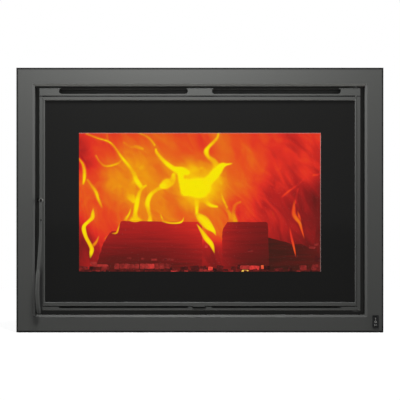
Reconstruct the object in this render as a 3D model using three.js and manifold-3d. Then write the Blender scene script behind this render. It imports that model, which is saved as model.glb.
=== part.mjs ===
// Built-in fireplace insert: steel surround, glazed door, casing, lined firebox and fan.
// Millimetres, +Z up, +X to the viewer's right, the front faces -Y.
// The origin is the centre of the casing's underside, on the hearth.

import * as THREE from 'three';
import { mergeVertices } from 'three/addons/utils/BufferGeometryUtils.js';
import Module from 'manifold-3d';

const wasm = await Module();
wasm.setup();

// ---------------------------------------------------------------- driving dimensions

const fitGap = 0.3;            // clearance between neighbouring pieces
const turnGap = 0.3;           // radial clearance of a pin or shaft in its hole

const surroundWidth = 700;
const surroundHeight = 505;
const surroundDepth = 30;      // from the wall to the front face
const surroundStrip = 35;      // face width at the sides and the top
const surroundBottomStrip = 33.5;
const surroundSheet = 2;
const surroundEdgeRadius = 2.7;
const surroundBevel = 4;       // folded edge towards the door

const casingDepth = 400;
const casingMargin = 5;        // casing side outside the surround's opening
const casingDrop = 30;         // casing top below the surround's top edge
const casingSheet = 2;
const basePlateThickness = 3;
const frontPlateThickness = 4;

const bracketSheet = 2;
const bracketEndGap = 3.7;     // arm behind the surround's face to its folded rim
const bracketGrip = 50;        // arm along the casing side
const bracketLength = 330;

const doorSideGap = 8;
const doorTopGap = 3.7;
const doorBottomGap = 8.7;
const doorRecess = 6;          // door face behind the surround's face
const doorSheet = 1.5;
const doorEdgeBevel = 0.8;
const stileLip = 7;
const topRailLip = 14.3;
const bottomRailLip = 6.7;
const grooveGap = 1.8;         // air gap above and below the glass bezel

const slotInner = 23;          // the rail slots start this far from the middle
const slotEndRoom = 38;        // and end this far from the door's edge
const topSlotDrop = 11;        // slot height below the door's top edge
const topSlotFold = 8;         // how far the slot runs back over the fold
const bottomSlotHeight = 2.7;

const bezelSide = 3.7;         // visible strip beside the glass
const bezelEnds = 7;           // visible strip above and below the glass
const bezelThickness = 3;
const bezelBevel = 1.2;
const traySheet = 1.5;         // the bezel's leg round the glass
const gasketThickness = 2;
const glassThickness = 4;

const airWindowPitch = 40;
const airWindowWidth = 18;
const airWindowMargin = 1.8;   // from the window to the glass and to the tray's rear edge
const sliderTravel = 10;       // each way from the middle
const sliderTabWidth = 24;
const sliderTabCentre = -1.6;  // a little left of the middle
const sliderTabRise = 5;
const sliderNotchGap = 1;      // rail notch beside the tab
const sliderTabSheet = 1.5;
const sliderTabProud = 4;      // in front of the door's face
const sliderFrontRim = 1.5;    // slider strip in front of and behind its windows
const sliderRearRim = 1;

const clipSheet = 1.5;
const clipLength = 24;
const clipFoot = 12;
const clipSpread = 240;        // height between the lower and the upper clips

const sealWidth = 10;
const sealThickness = 4.4;     // rope pressed between the door and the front plate
const sealRound = 1.2;         // rounding of its pressed corners
const sealMargin = 9;          // from the fire opening to the seal

const hingeInset = 8;          // hinge axis from the door's right edge
const hingeSetback = 6;        // hinge axis behind the door's face
const hingePinRadius = 2.5;
const hingePlateWidth = 14;
const hingePlateThickness = 2.4;

const handlePivotHeight = 252;
const handlePivotInset = 4.3;  // from the door's left edge
const latchShaftRadius = 2;
const latchCollarRadius = 4;
const leverWidth = 6.3;
const leverThickness = 4;
const leverTop = 5;            // rounded end above the pivot
const leverLength = 132;       // from the pivot down to the grip
const leverStraight = 48;      // upper length that hangs straight
const gripLength = 83;
const gripWidth = 8;
const gripDepth = 9;
const gripEndShare = 0.72;     // width and depth of the grip's rounded ends
const handleSweep = 5.4;       // to the left at the middle of the grip
const handleBow = 10.5;        // towards the hand at the middle of the grip
const handleReturn = 0.52;     // share of both that is left at the lower end
const handleStandOff = 1.2;    // lever in front of the surround's face
const tongueThickness = 3;
const tongueHeight = 8;
const tongueReach = 6.4;       // beyond the door's edge
const catchSheet = 1.4;
const catchHeight = 22;
const catchLedge = 5.4;
const catchDoorGap = 0.7;      // catch to the door's edge

const doorSideOverlap = 39;    // door beyond the fire opening, at the sides
const doorTopOverlap = 36.3;
const doorBottomOverlap = 35.8;
const fireboxSheet = 3;
const rearAirGap = 31.7;       // air space behind the firebox
const openingSideLip = 7;      // front plate in front of the firebox walls
const openingBottomLip = 15;

const liningThickness = 30;
const brickThickness = 31.7;
const baffleThickness = 20;
const smokeChamber = 45;       // from the lining's top to the roof
const smokeGap = 106.7;        // in front of the baffle

const grateWidth = 176;
const grateDepth = 170;
const grateThickness = 10;
const grateBarPitch = 20;
const grateSlotWidth = 9;
const grateRim = 14;
const grateSeat = 16;          // brick ledge under the grate's edge
const grateInset = 55.7;       // grate behind the firebox's front edge
const ashPanSheet = 1.5;
const ashPanClearance = 2;

const guardHeight = 18;
const guardFoot = 14;
const guardSheet = 3;
const guardEndGap = 31.4;      // guard's end to the side lining
const guardSetback = 10;       // behind the front plate

const flueRadius = 75;
const flueWall = 3;
const flueFlangeWidth = 20;
const flueFlangeThickness = 4;
const flueInset = 106.3;       // flue axis in front of the firebox's back
const pipeDrop = 1;            // collar and spigot rims below the surround's top, which hides them

const spigotRadius = 60;
const spigotWall = 1.5;
const spigotFlangeWidth = 12;
const spigotFlangeThickness = 2;
const spigotInset = 130;       // spigot axis from the casing's side

const fanRoom = 2;             // housing to the plates above and below it
const wheelLength = 236;
const wheelBlades = 16;
const bladeChord = 7;
const bladeThickness = 1.2;
const bladeInset = 0.4;        // blade inside the discs' edge
const bladePitch = 28;         // degrees
const wheelDiscThickness = 1.5;
const wheelShaftRadius = 2.5;
const housingSheet = 1.5;
const housingGap = 3;          // wheel to housing
const housingLength = 55;      // in front of the wheel's axis
const blowerRearGap = 5.7;     // housing in front of the intake grille
const motorRadius = 19;
const motorLength = 45;
const motorFootWidth = 24;
const bearingLength = 8;
const bearingWidth = 20;
const shaftGrip = 6;           // shaft inside the motor and the bearing

const grilleWidth = 280;
const grilleHeight = 46;
const grilleSheet = 1.5;
const grilleRim = 8;
const grilleSlotWidth = 4;
const grilleSlotPitch = 12;

const switchWidth = 11.6;
const switchHeight = 24.1;
const switchFromSide = 15.7;   // switch centre from the surround's right edge
const switchFromBottom = 21.3;
const switchBezelThickness = 1.5;
const switchWall = 0.8;        // body inside the bezel's outline
const switchBodyDepth = 21;
const rockerWidth = 7.4;
const rockerHeight = 17;
const rockerDepth = 7;
const rockerProud = 1.4;
const rockerVee = 0.8;         // the face is this much deeper at the middle
const rockerHeel = 1.6;        // chamfer behind each end
const rockerSwing = 8;         // degrees each way
const rockerPinRadius = 0.9;

const terminalBoxWidth = 46;
const terminalBoxDepth = 34;
const terminalBoxHeight = 40;
const terminalBoxWall = 2;
const terminalBoxInset = 58;   // box centre from the casing's side
const glandRadius = 7;
const glandNutRadius = 11;
const glandNutThickness = 5;
const glandTail = 9;
const cableRadius = 3.5;

const emberRise = 17;
const emberSlope = 1.4;        // width of the bed's slope, in rises
const logRowLeft = 196;        // the row of logs starts this far left of the middle
const leftLogLength = 190;
const leftLogSide = 100;
const logGap = 49;
const rightLogLength = 86;
const rightLogSide = 96;
const chunkGap = 4;
const chunkLength = 34;
const chunkSide = 66;
const logSetback = 105;        // middle of the row behind the ember bed's front
const logTurn = 4;             // degrees; the left log one way, the others the other way
const barkFacets = 8;

// ---------------------------------------------------------------- derived planes

const wallY = -casingDepth / 2;
const surroundFaceY = wallY - surroundDepth;
const openHalf = surroundWidth / 2 - surroundStrip;
const openBottom = surroundBottomStrip;
const openTop = surroundHeight - surroundStrip;

const doorFaceY = surroundFaceY + doorRecess;
const doorDepth = surroundDepth - doorRecess - sealThickness - 2 * fitGap;
const doorHalf = openHalf - doorSideGap;
const doorBottom = openBottom + doorBottomGap;
const doorTop = openTop - doorTopGap;

const trayHalf = doorHalf - stileLip - fitGap;
const trayBottom = doorBottom + bottomRailLip + grooveGap;
const trayTop = doorTop - topRailLip - grooveGap;

const casingHalf = openHalf + casingMargin;
const casingHeight = surroundHeight - casingDrop;
const casingBackY = casingDepth / 2;
const casingTopUnder = casingHeight - casingSheet;
const frontPlateBackY = wallY + frontPlateThickness;
const spigotSpread = casingHalf - spigotInset;
const pipeTop = surroundHeight - pipeDrop;

const fireOpenHalf = doorHalf - doorSideOverlap;
const fireOpenBottom = doorBottom + doorBottomOverlap;
const fireOpenTop = doorTop - doorTopOverlap;

const fireFrontY = frontPlateBackY + fitGap;
const fireBackY = casingBackY - casingSheet - rearAirGap;
const fireHalf = fireOpenHalf + openingSideLip;
const fireFloorTop = fireOpenBottom - openingBottomLip;
const fireFloorUnder = fireFloorTop - fireboxSheet;
const fireRoofUnder = fireOpenTop;
const fireRoofTop = fireRoofUnder + fireboxSheet;
const liningTop = fireRoofUnder - smokeChamber;
const flueBack = fireBackY - flueInset;

// ---------------------------------------------------------------- materials

function steel(colour, roughness, metalness) {
  return new THREE.MeshStandardMaterial({ color: colour, roughness, metalness });
}

const anthracitePaint = steel(0x5e5c5a, 0.5, 0.3);
const darkPaint = steel(0x2b2b2b, 0.6, 0.3);
const galvanised = steel(0x9a9c9d, 0.45, 0.8);
const blackSteel = steel(0x222222, 0.7, 0.5);
const castIron = steel(0x2a2725, 0.8, 0.6);
const brightSteel = steel(0xa8a6a2, 0.35, 0.9);
const fireClay = steel(0xb59a78, 0.95, 0);
const rope = steel(0x8a8a86, 0.95, 0);
const ceramicGlass = new THREE.MeshStandardMaterial({
  color: 0x1c1c1c, roughness: 0.08, metalness: 0, transparent: true, opacity: 0.5,
});
const blackPlastic = steel(0x2a2b2b, 0.5, 0);
const charredWood = steel(0x3a211a, 0.95, 0);
const ember = steel(0xb8452a, 0.95, 0);

// ---------------------------------------------------------------- shape helpers

function addPiece(group, name, geometry, material, position = [0, 0, 0]) {
  const mesh = new THREE.Mesh(geometry, material);
  mesh.name = name;
  mesh.position.set(...position);
  group.add(mesh);
  return mesh;
}

function block(spanX, spanY, spanZ) {
  const spans = [spanX, spanY, spanZ];
  const size = spans.map(([low, high]) => high - low);
  const centre = spans.map(([low, high]) => (low + high) / 2);
  return new THREE.BoxGeometry(...size).translate(...centre);
}

function rectangle(left, right, bottom, top, path = new THREE.Shape()) {
  path.moveTo(left, bottom);
  path.lineTo(right, bottom);
  path.lineTo(right, top);
  path.lineTo(left, top);
  path.closePath();
  return path;
}

function rectangularHole(left, right, bottom, top) {
  return rectangle(left, right, bottom, top, new THREE.Path());
}

function roundHole(x, y, radius) {
  return new THREE.Path().absarc(x, y, radius, 0, 2 * Math.PI, true);
}

function outline(points) {
  return new THREE.Shape(points.map(([x, y]) => new THREE.Vector2(x, y)));
}

// An outline drawn in X and Y, standing from one height to the other.
function standing(shape, bottom, top, curveSegments = 24) {
  const settings = { depth: top - bottom, bevelEnabled: false, curveSegments };
  return new THREE.ExtrudeGeometry(shape, settings).translate(0, 0, bottom);
}

// An outline drawn in X and Z, running back from front to rear.
function facing(shape, front, rear, curveSegments = 24) {
  const settings = { depth: rear - front, bevelEnabled: false, curveSegments };
  const geometry = new THREE.ExtrudeGeometry(shape, settings);
  return geometry.rotateX(Math.PI / 2).translate(0, rear, 0);
}

// An outline drawn in Y and Z, running from left to right.
function lengthwise(shape, left, right, curveSegments = 24) {
  const settings = { depth: right - left, bevelEnabled: false, curveSegments };
  const geometry = new THREE.ExtrudeGeometry(shape, settings);
  const turn = new THREE.Matrix4().makeBasis(
    new THREE.Vector3(0, 1, 0),
    new THREE.Vector3(0, 0, 1),
    new THREE.Vector3(1, 0, 0),
  );
  return geometry.applyMatrix4(turn).translate(left, 0, 0);
}

// A turned piece about +Y, from [radius, distance] points that start and end on the axis
// or close on themselves.
function turned(points, segments) {
  const profile = points.map(([radius, along]) => new THREE.Vector2(radius, along));
  return new THREE.LatheGeometry(profile, segments);
}

function rod(radius, start, end, segments = 24) {
  return turned([[0, start], [radius, start], [radius, end], [0, end]], segments);
}

function aboutZ(geometry) {
  return geometry.rotateX(Math.PI / 2);
}

function aboutX(geometry) {
  return geometry.rotateZ(-Math.PI / 2);
}

function closedSurface(positions, faces) {
  const geometry = new THREE.BufferGeometry();
  geometry.setAttribute('position', new THREE.Float32BufferAttribute(positions, 3));
  geometry.setIndex(faces);
  geometry.computeVertexNormals();
  return geometry;
}

// A folded section swept round a rectangle with mitred corners. Each section point holds the
// inset from the side edges, from the bottom edge and from the top edge, and its depth y.
function mitredFrame(half, bottom, top, section) {
  const positions = [];
  for (const [side, low, high, y] of section) {
    const corners = [
      [side - half, bottom + low],
      [half - side, bottom + low],
      [half - side, top - high],
      [side - half, top - high],
    ];
    for (const [x, z] of corners) {
      positions.push(x, y, z);
    }
  }
  const faces = [];
  for (let ring = 0; ring < section.length; ring += 1) {
    const next = (ring + 1) % section.length;
    for (let corner = 0; corner < 4; corner += 1) {
      const beyond = (corner + 1) % 4;
      const a = ring * 4 + corner;
      const b = ring * 4 + beyond;
      const c = next * 4 + beyond;
      const d = next * 4 + corner;
      faces.push(a, b, c, a, c, d);
    }
  }
  return closedSurface(positions, faces);
}

function evenInset(inset, y) {
  return [inset, inset, inset, y];
}

// A closed solid through level rings, listed from the bottom up. Each ring is a rounded
// rectangle; a higher squareness gives fuller corners.
function stackedRings(rings, sides, squareness) {
  const positions = [];
  const faces = [];
  const rounded = (value) => Math.sign(value) * Math.abs(value) ** (2 / squareness);
  for (const { x, y, z, width, depth } of rings) {
    for (let side = 0; side < sides; side += 1) {
      const angle = (2 * Math.PI * (side + 0.5)) / sides;
      const across = (rounded(Math.cos(angle)) * width) / 2;
      const back = (rounded(Math.sin(angle)) * depth) / 2;
      positions.push(x + across, y + back, z);
    }
  }
  for (let level = 0; level + 1 < rings.length; level += 1) {
    for (let side = 0; side < sides; side += 1) {
      const beyond = (side + 1) % sides;
      const a = level * sides + side;
      const b = level * sides + beyond;
      faces.push(a, b, b + sides, a, b + sides, a + sides);
    }
  }
  const lastRing = (rings.length - 1) * sides;
  for (let side = 1; side + 1 < sides; side += 1) {
    faces.push(0, side + 1, side);
    faces.push(lastRing, lastRing + side, lastRing + side + 1);
  }
  return closedSurface(positions, faces);
}

function toSolid(geometry) {
  const bare = geometry.clone();
  bare.deleteAttribute('normal');
  bare.deleteAttribute('uv');
  const merged = mergeVertices(bare, 1e-4);
  const vertProperties = new Float32Array(merged.attributes.position.array);
  const triVerts = new Uint32Array(merged.index.array);
  const mesh = new wasm.Mesh({ numProp: 3, vertProperties, triVerts });
  return new wasm.Manifold(mesh);
}

function toGeometry(solid) {
  const { vertProperties, triVerts } = solid.getMesh();
  return closedSurface(Array.from(vertProperties), Array.from(triVerts));
}

function joined(...geometries) {
  return toGeometry(geometries.map(toSolid).reduce((sum, solid) => sum.add(solid)));
}

function cut(geometry, ...tools) {
  return toGeometry(tools.map(toSolid).reduce((rest, tool) => rest.subtract(tool), toSolid(geometry)));
}

// ---------------------------------------------------------------- surround

const insert = new THREE.Group();
insert.name = 'fireplace_insert';

const surround = new THREE.Group();
surround.position.y = surroundFaceY;
insert.add(surround);

const switchX = surroundWidth / 2 - switchFromSide;

// In this group y counts back from the surround's front face.
function surroundFrame() {
  const section = [];
  const arcSteps = 4;
  section.push(evenInset(0, surroundDepth));
  for (let step = 0; step <= arcSteps; step += 1) {
    const angle = (Math.PI / 2) * (step / arcSteps);
    const inset = surroundEdgeRadius * (1 - Math.cos(angle));
    section.push(evenInset(inset, surroundEdgeRadius * (1 - Math.sin(angle))));
  }
  const bevelShift = surroundSheet * Math.tan(Math.PI / 8);
  const fromOpening = (back, y) => {
    const side = surroundStrip - back;
    section.push([side, surroundBottomStrip - back, side, y]);
  };
  fromOpening(surroundBevel, 0);
  fromOpening(0, surroundBevel);
  fromOpening(0, surroundDepth - fitGap);
  fromOpening(surroundSheet, surroundDepth - fitGap);
  fromOpening(surroundSheet, surroundBevel + bevelShift);
  fromOpening(surroundBevel + bevelShift, surroundSheet);
  section.push(evenInset(surroundSheet, surroundSheet));
  section.push(evenInset(surroundSheet, surroundDepth));
  const frame = mitredFrame(surroundWidth / 2, 0, surroundHeight, section);
  const holeHalfWidth = switchWidth / 2 - switchWall + fitGap;
  const holeHalfHeight = switchHeight / 2 - switchWall + fitGap;
  const switchHole = block(
    [switchX - holeHalfWidth, switchX + holeHalfWidth],
    [-1, surroundSheet + 1],
    [switchFromBottom - holeHalfHeight, switchFromBottom + holeHalfHeight],
  );
  return cut(frame, switchHole);
}

// A bent strip that carries the surround on the casing side; side is -1 or +1.
function surroundBracket(side) {
  const inner = casingHalf + fitGap;
  const outer = surroundWidth / 2 - surroundSheet - bracketEndGap;
  const front = surroundSheet + fitGap;
  const rear = surroundDepth + bracketGrip;
  const bend = [
    [inner, front],
    [outer, front],
    [outer, front + bracketSheet],
    [inner + bracketSheet, front + bracketSheet],
    [inner + bracketSheet, rear],
    [inner, rear],
  ];
  const middle = (openBottom + openTop) / 2;
  const shape = outline(bend.map(([x, y]) => [side * x, y]));
  return standing(shape, middle - bracketLength / 2, middle + bracketLength / 2);
}

addPiece(surround, 'surround_frame', surroundFrame(), anthracitePaint);
addPiece(surround, 'surround_bracket_left', surroundBracket(-1), galvanised);
addPiece(surround, 'surround_bracket_right', surroundBracket(1), galvanised);

// ---------------------------------------------------------------- casing

const casing = new THREE.Group();
insert.add(casing);

const wallBottom = basePlateThickness + fitGap;
const wallTop = casingTopUnder - fitGap;

function frontFrame() {
  const plate = rectangle(-casingHalf, casingHalf, wallBottom, wallTop);
  plate.holes.push(rectangularHole(-fireOpenHalf, fireOpenHalf, fireOpenBottom, fireOpenTop));
  return facing(plate, wallY, frontPlateBackY);
}

function casingSide(side) {
  const inner = side * (casingHalf - casingSheet);
  const outer = side * casingHalf;
  return block(
    [Math.min(inner, outer), Math.max(inner, outer)],
    [frontPlateBackY + fitGap, casingBackY - casingSheet - fitGap],
    [wallBottom, wallTop],
  );
}

const terminalBoxX = casingHalf - terminalBoxInset;
const terminalBoxMiddleZ = wallBottom + terminalBoxHeight / 2 + fitGap;

function casingBack() {
  const plate = rectangle(-casingHalf, casingHalf, wallBottom, wallTop);
  const intakeHalf = grilleWidth / 2 - grilleRim;
  const intakeBottom = wallBottom + grilleRim;
  const intakeTop = wallBottom + grilleHeight - grilleRim;
  plate.holes.push(rectangularHole(-intakeHalf, intakeHalf, intakeBottom, intakeTop));
  plate.holes.push(roundHole(terminalBoxX, terminalBoxMiddleZ, glandRadius + fitGap));
  return facing(plate, casingBackY - casingSheet, casingBackY);
}

function casingTop() {
  const plate = rectangle(-casingHalf, casingHalf, wallY, casingBackY);
  plate.holes.push(roundHole(0, flueBack, flueRadius + fitGap));
  for (const side of [-1, 1]) {
    plate.holes.push(roundHole(side * spigotSpread, flueBack, spigotRadius - spigotWall));
  }
  return standing(plate, casingTopUnder, casingHeight);
}

addPiece(casing, 'front_frame', frontFrame(), darkPaint);
addPiece(casing, 'casing_left_side', casingSide(-1), galvanised);
addPiece(casing, 'casing_right_side', casingSide(1), galvanised);
addPiece(casing, 'casing_back', casingBack(), galvanised);
addPiece(casing, 'casing_top', casingTop(), galvanised);
const basePlate = block([-casingHalf, casingHalf], [wallY, casingBackY], [0, basePlateThickness]);
addPiece(casing, 'casing_base', basePlate, galvanised);

// ---------------------------------------------------------------- hot-air spigots and flue collar

function collar(radius, wall, flangeWidth, flangeThickness, height) {
  return aboutZ(turned([
    [radius - wall, 0],
    [radius + flangeWidth, 0],
    [radius + flangeWidth, flangeThickness],
    [radius, flangeThickness],
    [radius, height],
    [radius - wall, height],
    [radius - wall, 0],
  ], 36));
}

const collarBottom = fireRoofTop + fitGap;
const collarHeight = pipeTop - collarBottom;
const flueCollar = collar(
  flueRadius, flueWall, flueFlangeWidth, flueFlangeThickness, collarHeight,
);
addPiece(casing, 'flue_collar', flueCollar, blackSteel, [0, flueBack, collarBottom]);

const spigotBottom = casingHeight + fitGap;
const spigotHeight = pipeTop - spigotBottom;
for (const [name, side] of [['hot_air_spigot_left', -1], ['hot_air_spigot_right', 1]]) {
  const spigot = collar(
    spigotRadius, spigotWall, spigotFlangeWidth, spigotFlangeThickness, spigotHeight,
  );
  const seat = [side * spigotSpread, flueBack, spigotBottom];
  addPiece(casing, name, spigot, galvanised, seat);
}

// ---------------------------------------------------------------- firebox

const firebox = new THREE.Group();
insert.add(firebox);

const fireWallBottom = fireFloorTop + fitGap;
const fireWallTop = fireRoofUnder - fitGap;
const fireBackFrontY = fireBackY - fireboxSheet;

function fireboxSide(side) {
  const inner = side * (fireHalf - fireboxSheet);
  const outer = side * fireHalf;
  return block(
    [Math.min(inner, outer), Math.max(inner, outer)],
    [fireFrontY, fireBackFrontY - fitGap],
    [fireWallBottom, fireWallTop],
  );
}

function fireboxRoof() {
  const plate = rectangle(-fireHalf, fireHalf, fireFrontY, fireBackY);
  plate.holes.push(roundHole(0, flueBack, flueRadius - flueWall));
  return standing(plate, fireRoofUnder, fireRoofTop);
}

const fireBackWall = block(
  [-fireHalf, fireHalf], [fireBackFrontY, fireBackY], [fireWallBottom, fireWallTop],
);
const fireFloor = block(
  [-fireHalf, fireHalf], [fireFrontY, fireBackY], [fireFloorUnder, fireFloorTop],
);
addPiece(firebox, 'firebox_left_wall', fireboxSide(-1), blackSteel);
addPiece(firebox, 'firebox_right_wall', fireboxSide(1), blackSteel);
addPiece(firebox, 'firebox_back_wall', fireBackWall, blackSteel);
addPiece(firebox, 'firebox_roof', fireboxRoof(), blackSteel);
addPiece(firebox, 'firebox_floor', fireFloor, blackSteel);

// ---------------------------------------------------------------- lining, bricks and baffle

const liningOuter = fireHalf - fireboxSheet - fitGap;
const liningInner = liningOuter - liningThickness;
const liningFrontY = fireFrontY + fitGap;
const backLiningRearY = fireBackFrontY - fitGap;
const backLiningFrontY = backLiningRearY - liningThickness;
const hearthHalf = liningInner - fitGap;
const hearthRearY = backLiningFrontY - fitGap;

function sideLining(side) {
  const inner = side * liningInner;
  const outer = side * liningOuter;
  return block(
    [Math.min(inner, outer), Math.max(inner, outer)],
    [liningFrontY, hearthRearY],
    [fireWallBottom, liningTop],
  );
}

const backLining = block(
  [-liningOuter, liningOuter], [backLiningFrontY, backLiningRearY], [fireWallBottom, liningTop],
);
addPiece(firebox, 'lining_left', sideLining(-1), fireClay);
addPiece(firebox, 'lining_right', sideLining(1), fireClay);
addPiece(firebox, 'lining_back', backLining, fireClay);

const brickTop = fireWallBottom + brickThickness;
const grateFrontY = fireFrontY + grateInset;
const grateRearY = grateFrontY + grateDepth;
const panHoleHalf = grateWidth / 2 - grateSeat;
const grateBottom = brickTop - grateThickness;

function sideBrick(side) {
  const inner = side * panHoleHalf;
  const outer = side * hearthHalf;
  const ledgeEnd = side * (grateWidth / 2 + fitGap);
  const brick = block(
    [Math.min(inner, outer), Math.max(inner, outer)],
    [liningFrontY, hearthRearY],
    [fireWallBottom, brickTop],
  );
  const ledge = block(
    [Math.min(side * (panHoleHalf - 1), ledgeEnd), Math.max(side * (panHoleHalf - 1), ledgeEnd)],
    [grateFrontY - fitGap, grateRearY + fitGap],
    [grateBottom - fitGap, brickTop + 1],
  );
  return cut(brick, ledge);
}

const middleBrick = [fitGap - panHoleHalf, panHoleHalf - fitGap];
const brickHeights = [fireWallBottom, brickTop];
const frontBrick = block(middleBrick, [liningFrontY, grateFrontY - fitGap], brickHeights);
const rearBrick = block(middleBrick, [grateRearY + fitGap, hearthRearY], brickHeights);
addPiece(firebox, 'hearth_brick_left', sideBrick(-1), fireClay);
addPiece(firebox, 'hearth_brick_right', sideBrick(1), fireClay);
addPiece(firebox, 'hearth_brick_front', frontBrick, fireClay);
addPiece(firebox, 'hearth_brick_rear', rearBrick, fireClay);

const bafflePlate = block(
  [-liningOuter, liningOuter],
  [fireFrontY + smokeGap, backLiningRearY],
  [liningTop + fitGap, liningTop + fitGap + baffleThickness],
);
addPiece(firebox, 'baffle_plate', bafflePlate, fireClay);

// ---------------------------------------------------------------- grate, ash pan and log guard

// Upright slots side by side across a plate; returns the cutting blocks.
function slotRow(rowWidth, pitch, slotWidth, spanY, spanZ) {
  const count = Math.floor(rowWidth / pitch);
  const tools = [];
  for (let slot = 0; slot < count; slot += 1) {
    const x = (slot - (count - 1) / 2) * pitch;
    tools.push(block([x - slotWidth / 2, x + slotWidth / 2], spanY, spanZ));
  }
  return tools;
}

function fireGrate() {
  const half = grateWidth / 2;
  const plate = block([-half, half], [grateFrontY, grateRearY], [grateBottom, brickTop]);
  const slots = slotRow(
    grateWidth - 2 * grateRim, grateBarPitch, grateSlotWidth,
    [grateFrontY + grateRim, grateRearY - grateRim], [grateBottom - 1, brickTop + 1],
  );
  return cut(plate, ...slots);
}

function ashPan() {
  const half = panHoleHalf - ashPanClearance;
  const front = grateFrontY + ashPanClearance;
  const rear = grateRearY - ashPanClearance;
  const rim = grateBottom - 2 * fitGap;
  const outside = block([-half, half], [front, rear], [fireWallBottom, rim]);
  const inside = block(
    [ashPanSheet - half, half - ashPanSheet],
    [front + ashPanSheet, rear - ashPanSheet],
    [fireWallBottom + ashPanSheet, rim + 1],
  );
  return cut(outside, inside);
}

function logGuard() {
  const front = fireFrontY + guardSetback;
  const bottom = brickTop + fitGap;
  const angle = outline([
    [front, bottom],
    [front + guardFoot, bottom],
    [front + guardFoot, bottom + guardSheet],
    [front + guardSheet, bottom + guardSheet],
    [front + guardSheet, bottom + guardHeight],
    [front, bottom + guardHeight],
  ]);
  return lengthwise(angle, guardEndGap - hearthHalf, hearthHalf - guardEndGap);
}

addPiece(firebox, 'fire_grate', fireGrate(), castIron);
addPiece(firebox, 'ash_pan', ashPan(), galvanised);
addPiece(firebox, 'log_guard', logGuard(), castIron);

// ---------------------------------------------------------------- fire load

const emberFrontY = fireFrontY + guardSetback + guardFoot + fitGap;
const emberBottom = brickTop + fitGap;
const emberTop = emberBottom + emberRise;

const emberSides = 32;
const emberSquareness = 5;

function emberBed() {
  const centreY = (emberFrontY + hearthRearY) / 2;
  const width = 2 * hearthHalf - 2 * fitGap;
  const depth = hearthRearY - emberFrontY - 2 * fitGap;
  const levels = 5;
  const rings = [];
  for (let level = 0; level < levels; level += 1) {
    const share = level / (levels - 0.9);
    const slope = emberRise * emberSlope * (1 - Math.sqrt(1 - share * share));
    rings.push({
      x: 0,
      y: centreY,
      z: emberBottom + (emberRise * level) / (levels - 1),
      width: width - 2 * slope,
      depth: depth - 2 * slope,
    });
  }
  return stackedRings(rings, emberSides, emberSquareness);
}

// A split log lying along X: a flat foot, a split face that leans in on the left and a
// rounded bark side on the right. Its side is both its width and its height.
function splitLog(length, side) {
  const half = side / 2;
  const bark = new THREE.EllipseCurve(0, half, half, half, -Math.PI / 3, Math.PI / 2);
  const points = bark.getPoints(barkFacets).map((point) => [point.x, point.y]);
  points[0][1] = 0;
  const wedge = outline([[-side / 2, 0], ...points, [-side / 4, side * 0.9]]);
  return lengthwise(wedge, -length / 2, length / 2);
}

addPiece(firebox, 'ember_bed', emberBed(), ember);
const rightLogStart = leftLogLength - logRowLeft + logGap;
const chunkStart = rightLogStart + rightLogLength + chunkGap;
const logs = [
  ['log_left', -logRowLeft, leftLogLength, leftLogSide, logTurn],
  ['log_right', rightLogStart, rightLogLength, rightLogSide, -logTurn],
  ['log_chunk', chunkStart, chunkLength, chunkSide, -logTurn],
];
for (const [name, start, length, side, turn] of logs) {
  const seat = [start + length / 2, emberFrontY + logSetback, emberTop + fitGap];
  const log = addPiece(firebox, name, splitLog(length, side), charredWood, seat);
  log.rotation.z = THREE.MathUtils.degToRad(turn);
}

// ---------------------------------------------------------------- fan

const plenumHeight = fireFloorUnder - basePlateThickness;
const wheelRadius = plenumHeight / 2 - fanRoom - housingSheet - housingGap;
const housingRadius = wheelRadius + housingGap;
const grilleRearY = casingBackY - casingSheet - fitGap;
const blowerRearY = grilleRearY - grilleSheet - blowerRearGap;
const blowerY = blowerRearY - housingSheet - housingRadius;
const blowerZ = basePlateThickness + plenumHeight / 2;
const blower = new THREE.Group();
blower.position.set(0, blowerY, blowerZ);
insert.add(blower);

// In this group the wheel turns about the X axis through the group's origin.
const wheelHalf = wheelLength / 2;
const housingHalf = wheelHalf + housingGap + housingSheet;
const blowerFloor = basePlateThickness + fitGap - blowerZ;

function blowerWheel() {
  const pieces = [];
  for (const x of [-wheelHalf, -wheelDiscThickness / 2, wheelHalf - wheelDiscThickness]) {
    pieces.push(aboutX(rod(wheelRadius, x, x + wheelDiscThickness, 32)));
  }
  const shaftEnd = housingHalf + fitGap + shaftGrip;
  pieces.push(aboutX(rod(wheelShaftRadius, -shaftEnd, shaftEnd, 16)));
  const bladeMiddle = wheelRadius - bladeChord / 2 - bladeInset;
  const bladeHalf = wheelHalf - wheelDiscThickness / 3;
  for (let blade = 0; blade < wheelBlades; blade += 1) {
    const angle = (2 * Math.PI * blade) / wheelBlades;
    const vane = block(
      [-bladeHalf, bladeHalf],
      [-bladeThickness / 2, bladeThickness / 2],
      [-bladeChord / 2, bladeChord / 2],
    );
    vane.rotateX(THREE.MathUtils.degToRad(bladePitch));
    vane.translate(0, 0, bladeMiddle).rotateX(angle);
    pieces.push(vane);
  }
  return joined(...pieces);
}

function blowerHousing() {
  const front = -housingLength;
  const inner = housingRadius;
  const outer = housingRadius + housingSheet;
  const roof = new THREE.Shape();
  roof.moveTo(front, inner);
  roof.lineTo(0, inner);
  roof.absarc(0, 0, inner, Math.PI / 2, Math.PI / 8, true);
  roof.absarc(0, 0, outer, Math.PI / 8, Math.PI / 2, false);
  roof.lineTo(front, outer);
  roof.closePath();
  const pieces = [lengthwise(roof, -housingHalf, housingHalf, 10)];
  const floorHeights = [blowerFloor, blowerFloor + housingSheet];
  pieces.push(block([-housingHalf, housingHalf], [front, -wheelRadius / 2], floorHeights));
  for (const side of [-1, 1]) {
    const plate = rectangle(front, outer, blowerFloor, outer);
    plate.holes.push(roundHole(0, 0, wheelShaftRadius + turnGap));
    const inside = side * (housingHalf - housingSheet);
    const outside = side * housingHalf;
    pieces.push(lengthwise(plate, Math.min(inside, outside), Math.max(inside, outside), 10));
  }
  return joined(...pieces);
}

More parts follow.
